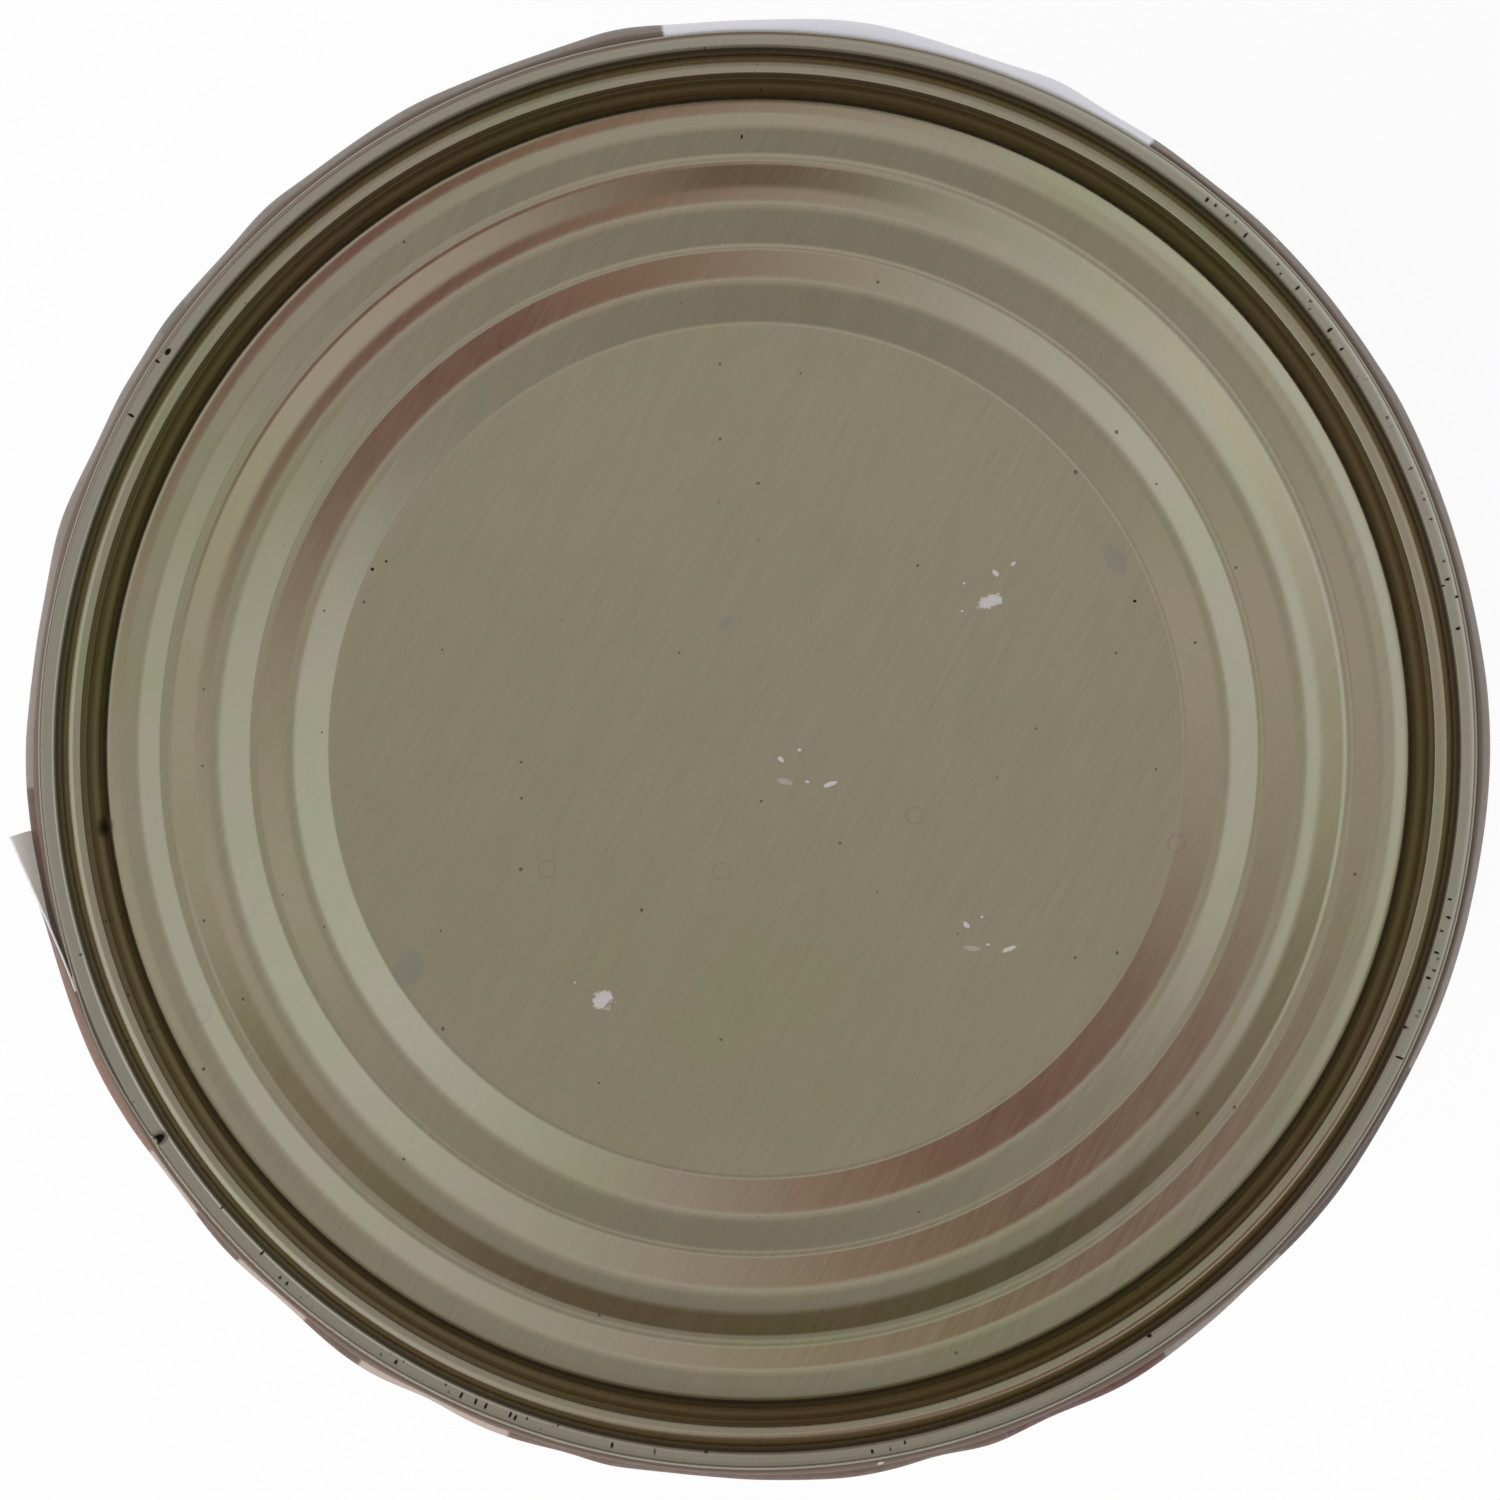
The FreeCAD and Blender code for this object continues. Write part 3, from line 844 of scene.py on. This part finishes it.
def plain_tin(colours):
    """Lacquered tinplate of the body and the lower end."""
    name = "Lacquered tinplate"
    if name in bpy.data.materials:
        return bpy.data.materials[name]
    material, web = new_material(name)
    place = in_millimetres(web)
    colour, roughness, lines = tin_surface(web, place, colours)
    specks = placed_group(web, "Specks", specks_group, {"Vector": place})["Mask"]
    colour = web.mix(web.sum("MULTIPLY", specks, 0.7), colour, (*colours.grime_and_painted_shade, 1))
    tin_shader(web, colour, roughness, 1.0, lines)
    return material


def spots(web, place, table, ragged, rings=False, edge=0.4):
    """One mask for a whole table of spots, or for the thin rings round them.

    Their outlines stray by a share of their size.
    """
    rough = web.node("ShaderNodeTexNoise", {"Vector": place, "Scale": 3.0, "Detail": 4.0})
    stray = web.sum("MULTIPLY", web.sum("SUBTRACT", rough.outputs[0], 0.5), ragged)
    squared = [placed_group(web, "Spot", spot_group, {
        "Vector": place, "Middle": (x, y, 0.0), "Half length": half_length,
        "Half width": half_width, "Turn": math.radians(way)})["Squared"]
        for x, y, half_length, half_width, way in table]
    if rings:
        beyond = web.sum("SUBTRACT", stray, 1.0)
        off_ring = nearest(web, [web.sum("ABSOLUTE", web.sum("ADD", web.sum("SQRT", one), beyond))
                                 for one in squared])
        return web.ramp(off_ring, 0.0, 0.3, 1.0, 0.0)
    away = web.sum("ADD", web.sum("SQRT", nearest(web, squared)), stray)
    return web.ramp(away, 1.1 - edge, 1.1, 1.0, 0.0)


def land_dirt(web, parts, radius):
    """Dirt and small nicks in a row along the land of the seam."""
    way = web.sum("ARCTAN2", parts["Y"], parts["X"])
    degrees = web.sum("DEGREES", web.sum("FLOORED_MODULO", way, FULL_TURN))
    sectors = either(web, [web.sum("MULTIPLY", web.ramp(degrees, first - 1.5, first + 1.5),
                                   web.ramp(degrees, last - 1.5, last + 1.5, 1.0, 0.0))
                           for first, last in DIRTY_LAND_DEG])
    row = web.sum("ABSOLUTE", web.sum("SUBTRACT", radius, DIRT_ROW_MM))
    rolled_out = web.node("ShaderNodeCombineXYZ", {
        "X": web.sum("MULTIPLY", way, 36.0), "Y": web.sum("MULTIPLY", radius, 0.35),
        "Z": 0.0}).outputs[0]
    dense = placed_group(web, "Flat specks", flat_specks_group, {
        "Vector": rolled_out, "Specks per mm": 2.2, "Amount": 0.62, "Size": 0.34})["Mask"]
    sparse = placed_group(web, "Flat specks", flat_specks_group, {
        "Vector": rolled_out, "Specks per mm": 1.3, "Amount": 0.12, "Size": 0.26})["Mask"]
    near_row = web.sum("MULTIPLY", sectors, web.ramp(row, 0.10, 0.26, 1.0, 0.0))
    on_land = web.ramp(web.sum("ABSOLUTE", web.sum("SUBTRACT", radius, LAND_MIDDLE_MM)),
                       0.30, 0.42, 1.0, 0.0)
    return web.sum("MAXIMUM", web.sum("MULTIPLY", dense, near_row),
                   web.sum("MULTIPLY", sparse, on_land))


def painted_wall_shade(web, parts, radius):
    """Painted shade on the chuck wall under the land and on the outer side of the seam."""
    top, land = (CAN_HEIGHT - 0.20 * MM) / MM, (CAN_HEIGHT - 0.12 * MM) / MM
    below_land = web.ramp(parts["Z"], top, land, 1.0, 0.0)
    chuck_wall = web.sum("MULTIPLY", web.ramp(radius, *CHUCK_WALL_FOOT_MM),
                         web.ramp(radius, *CHUCK_WALL_TOP_MM, 1.0, 0.0))
    upper = web.ramp(parts["Z"], CAN_HEIGHT / MM - 3.0, CAN_HEIGHT / MM - 0.8)
    # Painted shade in the groove, on the chuck wall below the land.
    inside = web.sum("MULTIPLY", web.sum("MULTIPLY", chuck_wall, upper), below_land)
    # Painted shade that dims the bright reflection on the outer side of the seam.
    outside = web.ramp(radius, *SEAM_OUTSIDE_MM)
    return web.sum("ADD", web.sum("MULTIPLY", inside, 0.8), web.sum("MULTIPLY", outside, 0.6))


def handled_tin_with_painted_shade(colours):
    """Lacquered tinplate of the upper end, with the marks of handling and painted shade."""
    material, web = new_material("Handled lacquered tinplate with painted shade")
    place = in_millimetres(web)
    colour, roughness, lines = tin_surface(web, place, colours)
    parts = web.node("ShaderNodeSeparateXYZ", {"Vector": place}).outputs
    flat = web.node("ShaderNodeCombineXYZ", {"X": parts["X"], "Y": parts["Y"],
                                             "Z": 0.0}).outputs[0]
    radius = web.vector("LENGTH", flat)
    rubbed = web.sum("MAXIMUM", spots(web, flat, RUBBED_SPOTS_MM, 1.9),
                     web.sum("MULTIPLY", spots(web, flat, FAINT_SPOTS_MM, 1.5), 0.35))
    drops = [(x, y, 0.42, 0.42, 0) for x, y in DRIED_DROPS_MM]
    rings = spots(web, flat, drops, 0.25, rings=True)
    blots = spots(web, flat, DARK_SPOTS_MM, 0.5)
    smudges = spots(web, flat, SMUDGES_MM, 1.2)
    dots = placed_group(web, "Flat specks", flat_specks_group, {
        "Vector": flat, "Specks per mm": 0.5, "Amount": 0.10, "Size": 0.06})["Mask"]
    soft_blot = spots(web, flat, SOFT_DARK_PATCHES_MM, 0.5, edge=1.0)
    # Dark mask of dirt, specks and nicks, and of painted shade on the chuck wall and seam side.
    grime_and_painted_shade = either(web, [web.sum("MULTIPLY", dots, 0.6), land_dirt(web, parts, radius), blots,
                         web.sum("MULTIPLY", soft_blot, 0.9), painted_wall_shade(web, parts, radius)])
    on_land = web.ramp(radius, *LAND_LACQUER_MM)
    colour = web.mix(web.sum("MULTIPLY", on_land, 0.7), colour, (*colours.thin, 1))
    colour = web.mix(web.sum("MULTIPLY", rings, 0.22), colour, (*colours.dried, 1))
    colour = web.mix(web.sum("MULTIPLY", smudges, 0.35), colour, (*colours.smudge, 1))
    colour = web.mix(web.sum("MULTIPLY", rubbed, 0.8), colour, (*colours.rubbed, 1))
    colour = web.mix(grime_and_painted_shade, colour, (*colours.grime_and_painted_shade, 1))
    roughness = web.sum("ADD", roughness, web.sum("MULTIPLY", web.sum("ADD", rubbed, grime_and_painted_shade), 0.3))
    metallic = web.sum("SUBTRACT", 1.0, web.sum("MULTIPLY", rubbed, 0.6))
    coat = web.sum("MULTIPLY_ADD", grime_and_painted_shade, -0.15, 0.15)
    tin_shader(web, colour, roughness, metallic, lines, coat)
    return material


def printed_paper(colours, sizes):
    """Glossy printed side of the label: fields of colour on its own map.

    Bands run along both its edges, except across the lilac field.
    """
    material, web = new_material("Printed label paper")
    uv = web.node("ShaderNodeTexCoord").outputs["UV"]
    parts = web.node("ShaderNodeSeparateXYZ", {"Vector": uv}).outputs
    wrapped = 360.0 + sizes.lap_deg
    way = web.sum("MULTIPLY_ADD", parts["X"], wrapped, sizes.free_edge_deg)
    tall = (sizes.top - sizes.foot) / MM
    up = web.sum("MULTIPLY", parts["Y"], tall)
    colour = (*colours.ground, 1)
    lilac_field = 0.0
    for first, last, field in LABEL_FIELDS_DEG:
        inside = web.sum("MULTIPLY", web.ramp(way, first - 0.2, first + 0.2),
                         web.ramp(way, last - 0.2, last + 0.2, 1.0, 0.0))
        colour = web.mix(inside, colour, (*getattr(colours, field), 1))
        if field == "lilac":
            lilac_field = inside
    oval = web.node("ShaderNodeCombineXYZ", {
        "X": web.sum("DIVIDE", web.sum("SUBTRACT", way, OVAL_AT_DEG), OVAL_HALF_WIDTH_DEG),
        "Y": web.sum("DIVIDE", web.sum("SUBTRACT", up, OVAL_MIDDLE_MM), OVAL_HALF_HEIGHT_MM),
        "Z": 0.0}).outputs[0]
    from_middle = web.vector("LENGTH", oval)
    colour = web.mix(web.ramp(from_middle, 1.0, 1.012, 1.0, 0.0), colour, (*colours.moss, 1))
    colour = web.mix(web.ramp(from_middle, 0.94, 0.952, 1.0, 0.0), colour, (*colours.lilac, 1))
    for low, high in ((-1.0, FOOT_BAND_MM), (tall - TOP_BAND_MM, tall + 1.0)):
        band = web.sum("MULTIPLY", web.ramp(up, low - 0.05, low + 0.05),
                       web.ramp(up, high - 0.05, high + 0.05, 1.0, 0.0))
        band = web.sum("MULTIPLY", band, web.sum("SUBTRACT", 1.0, lilac_field))
        colour = web.mix(band, colour, (*colours.border, 1))
    place = in_millimetres(web)
    fibres = web.node("ShaderNodeTexNoise", {"Vector": place, "Scale": 2.5,
                                             "Detail": 4.0}).outputs[0]
    worn = placed_group(web, "Specks", specks_group, {
        "Vector": place, "Specks per mm": 0.5, "Amount": 0.12, "Size": 0.10})["Mask"]
    colour = web.mix(web.sum("MULTIPLY", worn, 0.5), colour, (*colours.paper, 1))
    bump = web.node("ShaderNodeBump", {"Strength": 0.2, "Distance": 0.02 * MM,
                                       "Height": fibres}).outputs[0]
    finish_material(web, {"Base Color": colour, "Normal": bump, "Specular IOR Level": 0.12,
                          "Roughness": web.ramp(fibres, 0.3, 0.7, 0.38, 0.50)})
    return material


def bare_paper(colours):
    """Unprinted back and cut edges of the label."""
    material, web = new_material("Bare label paper")
    fibres = web.node("ShaderNodeTexNoise", {"Vector": in_millimetres(web), "Scale": 4.0,
                                             "Detail": 4.0}).outputs[0]
    shade = web.ramp(fibres, 0.3, 0.7, 0.9, 1.0)
    colour = web.node("ShaderNodeMix", {"Factor": 1.0, 6: (*colours.paper, 1), 7: shade},
                      data_type="RGBA", blend_type="MULTIPLY").outputs[2]
    finish_material(web, {"Base Color": colour, "Roughness": web.ramp(fibres, 0.2, 0.8, 0.7, 0.9),
                          "Subsurface Weight": 0.85, "Subsurface Radius": (1.0, 0.9, 0.8),
                          "Subsurface Scale": 1.0 * MM})
    return material


# --- Label ------------------------------------------------------------------------------------
def near(way, spot, half_width):
    """1 at a spot on the round, falling to nothing within a few half widths of it."""
    away = (way - spot + 180) % 360 - 180
    return math.exp(-(away / half_width) ** 2)


def corner_slip(label, way, height):
    """Degrees by which the loose corner slips towards the rest of the sheet."""
    loose = max(0.0, 1 - (label.top - height) / label.corner_height) ** 2
    fall = max(0.0, 1 - (way - label.free_edge_deg) / label.corner_reach_deg) ** 2
    return label.corner_slip_deg * loose * fall


def label_radius(scene, way, height):
    """Inside of the label, at an angle in degrees counted on from its free edge."""
    label, can = scene.label_sizes, scene.can_sizes
    turns = (way - label.free_edge_deg) / 360
    spiral = label.play + (1 - turns) * (label.sheet + label.lap_gap)
    play = spiral
    depth = label.top - height
    share_down = min(1.0, depth / label.pucker)
    for spot, half_width, share in HOLLOWS_DEG:
        play *= 1 - (1 - share_down ** 2) * share * near(way, spot, half_width)
    for spot, half_width, reach in BULGES_DEG:
        play += (1 - share_down) ** 2 * reach * MM * near(way, spot, half_width)
    shoulder_foot = can.height - can.neck_length - can.neck_in / math.tan(can.neck_slope)
    free = max(0.0, 1 - depth / (label.top - shoulder_foot)) ** 2
    loose = max(0.0, 1 - depth / label.corner_height) ** 2
    from_edge = way - label.free_edge_deg
    fall = max(0.0, 1 - from_edge / label.corner_reach_deg) ** 2
    stiff = math.exp(-(from_edge / label.flap_reach_deg) ** 2)
    tuck = free * (1 - stiff) * (play - spiral + label.tuck_in)
    return can.body_radius + play - tuck + loose * fall * label.corner_lift


def label_mesh(scene):
    """The wrapped sheet with both faces and its cut edges, mapped by turn and height."""
    label = scene.label_sizes
    around, plain, waved = LABEL_COLUMNS, PLAIN_LABEL_ROWS, WAVED_LABEL_ROWS
    wave_foot = label.top - max(label.corner_height, label.pucker) - MM
    heights = [label.foot + (wave_foot - label.foot) * i / plain for i in range(plain)]
    heights += [wave_foot + (label.top - wave_foot) * i / waved for i in range(waved + 1)]
    ways = [label.free_edge_deg + (360 + label.lap_deg) * i / around for i in range(around + 1)]
    points = []
    for face in (1, 0):
        for height in heights:
            waviness = max(0.0, 1 - (label.top - height) / label.pucker)
            for way in ways:
                across = math.radians(way + corner_slip(label, way, height))
                crease = noise.noise(Vector((math.cos(across) * CREASES_ROUND,
                                             math.sin(across) * CREASES_ROUND,
                                             height / MM * CREASES_PER_MM)))
                radius = label_radius(scene, way, height) + face * label.sheet
                radius += label.crinkle * (waviness * abs(crease) * 2 + 0.25 * crease + 0.1)
                points.append((radius * math.cos(across), radius * math.sin(across), height))
    wide = len(ways)
    layer = wide * len(heights)
    faces = []
    for row in range(len(heights) - 1):
        for i in range(wide - 1):
            a = row * wide + i
            faces.append((a, a + 1, a + wide + 1, a + wide))
            faces.append((layer + a, layer + a + wide, layer + a + wide + 1, layer + a + 1))
    printed = len(faces)
    top = (len(heights) - 1) * wide
    flap = round(label.corner_reach_deg / (360 + label.lap_deg) * around)
    for i in reversed(range(wide - 1)):
        faces.append((i, layer + i, layer + i + 1, i + 1))
        faces.append((top + i, top + i + 1, layer + top + i + 1, layer + top + i))
    rims = len(faces) - 2 * flap
    for row in range(len(heights) - 1):
        a = row * wide
        b = a + wide - 1
        faces.append((a, a + wide, layer + a + wide, layer + a))
        faces.append((b, layer + b, layer + b + wide, b + wide))
    mesh = bpy.data.meshes.new("label")
    mesh.from_pydata(points, [], faces)
    for polygon in mesh.polygons:
        outer = polygon.index % 2 == 0 if polygon.index < printed else polygon.index < rims
        polygon.material_index = 0 if outer else 1
        polygon.use_smooth = polygon.index < printed
    uv = mesh.uv_layers.new(name="label_map")
    for loop in mesh.loops:
        column = loop.vertex_index % wide
        row = (loop.vertex_index % layer) // wide
        up = (heights[row] - label.foot) / (label.top - label.foot)
        uv.data[loop.index].uv = (column / (wide - 1), up)
    return mesh


# --- Operators --------------------------------------------------------------------------------
class CAN_OT_necked_end(bpy.types.Operator):
    """Makes the shown upper end: centre panel, ridges, groove and double seam"""
    bl_idname = "can.necked_end"
    bl_label = "Necked end"

    def execute(self, context):
        scene = context.scene
        can, seam, panel = scene.can_sizes, scene.seam_sizes, scene.panel_sizes
        section = Section(scene)
        wall_radius = can.body_radius - can.neck_in
        line = [(r, can.height + z) for r, z in section.end(wall_radius)]
        groove = section.seam_point(wall_radius, 0, panel.countersink_depth)[0]

        def shares(r, z):
            on_panel = min(1.0, max(0.0, (groove - r) / (3 * MM)))
            return section.seam_share(wall_radius, r, z - can.height), on_panel

        close_by = (math.radians(value) for value in NICK_COLUMNS_DEG)
        angles = columns(NECKED_END_COLUMNS, [(seam.notch, *close_by)])
        piece = strip("necked_end_tin", line, True, angles, shares)
        rolled_up(piece, handled_tin_with_painted_shade(scene.tin_colours), swell_at=can.side_seam,
                  swell_width=seam.swell_width, swell=seam.swell, nick_at=seam.notch,
                  nick_width=seam.notch_width, nick=seam.notch_depth,
                  unevenness=panel.unevenness,
                  unevenness_per_metre=panel.unevenness_per_metre, seed=panel.seed)
        put_on(piece, "necked_end")
        return {"FINISHED"}


class CAN_OT_wide_end(bpy.types.Operator):
    """Makes the lower end that the can stands on"""
    bl_idname = "can.wide_end"
    bl_label = "Wide end"

    def execute(self, context):
        scene = context.scene
        can, seam, panel = scene.can_sizes, scene.seam_sizes, scene.panel_sizes
        section = Section(scene)
        line = [(r, -z) for r, z in section.end(can.body_radius)]

        def shares(r, z):
            return section.seam_share(can.body_radius, r, -z), 0.0

        piece = strip("wide_end_tin", line, True, columns(WIDE_END_COLUMNS, []), shares)
        rolled_up(piece, plain_tin(scene.tin_colours), swell_at=can.side_seam,
                  swell_width=seam.swell_width, swell=seam.swell, nick_at=0.0, nick_width=1.0,
                  nick=0.0, unevenness=panel.unevenness,
                  unevenness_per_metre=panel.unevenness_per_metre, seed=panel.seed + 1)
        put_on(piece, "wide_end")
        return {"FINISHED"}


class CAN_OT_body(bpy.types.Operator):
    """Makes the can body with its neck, shoulder and welded side seam"""
    bl_idname = "can.body"
    bl_label = "Body"

    def execute(self, context):
        scene = context.scene
        can, seam = scene.can_sizes, scene.seam_sizes
        section = Section(scene)
        line = section.body()
        foot, head = seam.height, can.height - seam.height

        def shares(r, z):
            bare = foot < z < head and r > 0.9 * can.body_radius
            return (1.0 if bare else 0.0), 0.0

        strip_width = can.side_seam_width / can.body_radius
        angles = columns(BODY_COLUMNS, [(can.side_seam, strip_width, strip_width / 8)])
        piece = strip("can_body_tin", line, False, angles, shares)
        rolled_up(piece, plain_tin(scene.tin_colours), swell_at=can.side_seam,
                  swell_width=strip_width / 2, swell=0.05 * MM, nick_at=0.0, nick_width=1.0,
                  nick=0.0, unevenness=0.0, unevenness_per_metre=1.0, seed=0.0)
        put_on(piece, "can_body")
        return {"FINISHED"}


class CAN_OT_label(bpy.types.Operator):
    """Wraps the paper label round the body"""
    bl_idname = "can.label"
    bl_label = "Label"

    def execute(self, context):
        scene = context.scene
        piece = bpy.data.objects.new("paper_label", label_mesh(scene))
        scene.collection.objects.link(piece)
        piece.data.materials.append(printed_paper(scene.label_colours, scene.label_sizes))
        piece.data.materials.append(bare_paper(scene.label_colours))
        put_on(piece, "label")
        return {"FINISHED"}


class CAN_OT_stage(bpy.types.Operator):
    """Adds the floor, the soft light and the camera"""
    bl_idname = "can.stage"
    bl_label = "Stage"

    def execute(self, context):
        scene = context.scene
        add_floor(scene)
        add_world(scene)
        add_lamp(scene)
        add_camera(scene)
        scene.view_settings.view_transform = "Standard"
        return {"FINISHED"}


# --- Stage ------------------------------------------------------------------------------------
def seen_directly(web):
    """1 for rays that show the backdrop itself, directly or through glass."""
    path = web.node("ShaderNodeLightPath").outputs
    return either(web, [path["Is Camera Ray"], path["Is Transmission Ray"]])


def add_floor(scene):
    stage = scene.stage_settings
    half = stage.floor_size / 2
    mesh = bpy.data.meshes.new("floor")
    mesh.from_pydata([(-half, -half, 0), (half, -half, 0), (half, half, 0), (-half, half, 0)],
                     [], [(0, 1, 2, 3)])
    floor = bpy.data.objects.new("floor", mesh)
    scene.collection.objects.link(floor)
    material, web = new_material("Floor")
    shade = web.node("ShaderNodeBsdfDiffuse", {"Color": (*stage.floor, 1)}).outputs[0]
    white = web.node("ShaderNodeEmission", {"Color": (1, 1, 1, 1), "Strength": 1.0}).outputs[0]
    share = web.sum("MULTIPLY", seen_directly(web), stage.floor_fade)
    both = web.node("ShaderNodeMixShader", {0: share, 1: shade, 2: white}).outputs[0]
    web.node("ShaderNodeOutputMaterial", {"Surface": both})
    mesh.materials.append(material)


def light_round(web, round_share, stops):
    """Colour by the angle round the axis, from stops of (degrees, colour) that close up."""
    ramp = web.node("ShaderNodeValToRGB", {"Fac": round_share})
    ramp.color_ramp.interpolation = "EASE"
    made = ramp.color_ramp.elements
    made.remove(made[1])
    made[0].position = 0.0
    made[0].color = (*stops[0][1], 1)
    for degrees, shade in (*stops[1:], (360, stops[0][1])):
        made.new(degrees / 360).color = (*shade, 1)
    return ramp.outputs["Color"]


def add_world(scene):
    """Even light from all round, with a white backdrop and the studio that metal reflects."""
    stage = scene.stage_settings
    world = bpy.data.worlds.new("Studio")
    scene.world = world
    world.use_nodes = True
    world.node_tree.nodes.clear()
    web = Web(world.node_tree)
    way = web.node("ShaderNodeTexCoord").outputs["Generated"]
    parts = web.node("ShaderNodeSeparateXYZ", {"Vector": web.vector("NORMALIZE", way)}).outputs
    off_zenith = web.sum("DEGREES", web.sum("ARCCOSINE", parts["Z"]))
    round_share = web.sum("FRACT", web.sum("DIVIDE", web.sum("ARCTAN2", parts["Y"], parts["X"]),
                                           FULL_TURN))
    level = (stage.surroundings,) * 3 + (1,)
    studio = (*stage.overhead, 1)
    for beginning, stops in ((NEAR_LIGHT_FROM_DEG, NEAR_LIGHT), (HIGH_LIGHT_FROM_DEG, HIGH_LIGHT),
                             (LOW_LIGHT_FROM_DEG, LOW_LIGHT)):
        studio = web.mix(web.ramp(off_zenith, *beginning), studio,
                         light_round(web, round_share, stops))
    studio = web.mix(web.ramp(off_zenith, *HORIZON_FROM_DEG), studio, (*stage.horizon, 1))
    path = web.node("ShaderNodeLightPath").outputs
    inner = web.sum("GREATER_THAN", path["Glossy Depth"], 1.5)
    studio = web.mix(web.sum("MULTIPLY", inner, 1 - stage.between_folds), studio,
                     (*stage.in_folds, 1))
    colour = web.mix(path["Is Glossy Ray"], level, studio)
    colour = web.mix(seen_directly(web), colour, (1, 1, 1, 1))
    sky = web.node("ShaderNodeBackground", {"Color": colour, "Strength": 1.0}).outputs[0]
    web.node("ShaderNodeOutputWorld", {"Surface": sky})


def add_lamp(scene):
    stage = scene.stage_settings
    light = bpy.data.lights.new("Soft lamp", "AREA")
    light.shape = "DISK"
    light.size = stage.lamp_size
    light.energy = stage.lamp_power
    lamp = bpy.data.objects.new("Soft lamp", light)
    lamp.location = LAMP_PLACE
    lamp.rotation_euler = (-lamp.location).to_track_quat("-Z", "Y").to_euler()
    lamp.visible_glossy = False
    scene.collection.objects.link(lamp)


def add_camera(scene):
    """Straight above the can, with the top of the picture towards +Y."""
    stage = scene.stage_settings
    data = bpy.data.cameras.new("Camera")
    data.sensor_width = 36.0
    data.lens = data.sensor_width * stage.camera_height / stage.frame_width
    data.clip_start = 0.05
    data.clip_end = 50.0
    camera = bpy.data.objects.new("Camera", data)
    camera.location = (stage.camera_aside, 0, scene.can_sizes.height + stage.camera_height)
    scene.collection.objects.link(camera)
    scene.camera = camera


class CAN_PT_sidebar(bpy.types.Panel):
    """Lists the operators and their values"""
    bl_idname = "CAN_PT_sidebar"
    bl_label = "Can of dog food"
    bl_space_type = "VIEW_3D"
    bl_region_type = "UI"
    bl_category = "Can"

    def draw(self, context):
        for operator in OPERATORS:
            self.layout.operator(operator.bl_idname)
        for group in GROUPS:
            box = self.layout.box()
            box.label(text=group.replace("_", " ").capitalize())
            values = getattr(context.scene, group)
            for name in values.__annotations__:
                box.prop(values, name)


OPERATORS = (CAN_OT_body, CAN_OT_wide_end, CAN_OT_necked_end, CAN_OT_label, CAN_OT_stage)
GROUPS = {"can_sizes": CanSizes, "seam_sizes": SeamSizes, "panel_sizes": PanelSizes,
          "label_sizes": LabelSizes, "tin_colours": TinColours, "label_colours": LabelColours,
          "stage_settings": StageSettings}


def register():
    for kind in (*GROUPS.values(), *OPERATORS, CAN_PT_sidebar):
        bpy.utils.register_class(kind)
    for name, group in GROUPS.items():
        setattr(bpy.types.Scene, name, PointerProperty(type=group))


def unregister():
    for name in GROUPS:
        delattr(bpy.types.Scene, name)
    for kind in reversed((*GROUPS.values(), *OPERATORS, CAN_PT_sidebar)):
        bpy.utils.unregister_class(kind)


def main():
    register()
    bpy.ops.can.body()
    bpy.ops.can.wide_end()
    bpy.ops.can.necked_end()
    bpy.ops.can.label()
    bpy.ops.can.stage()


if __name__ == "__main__":
    main()
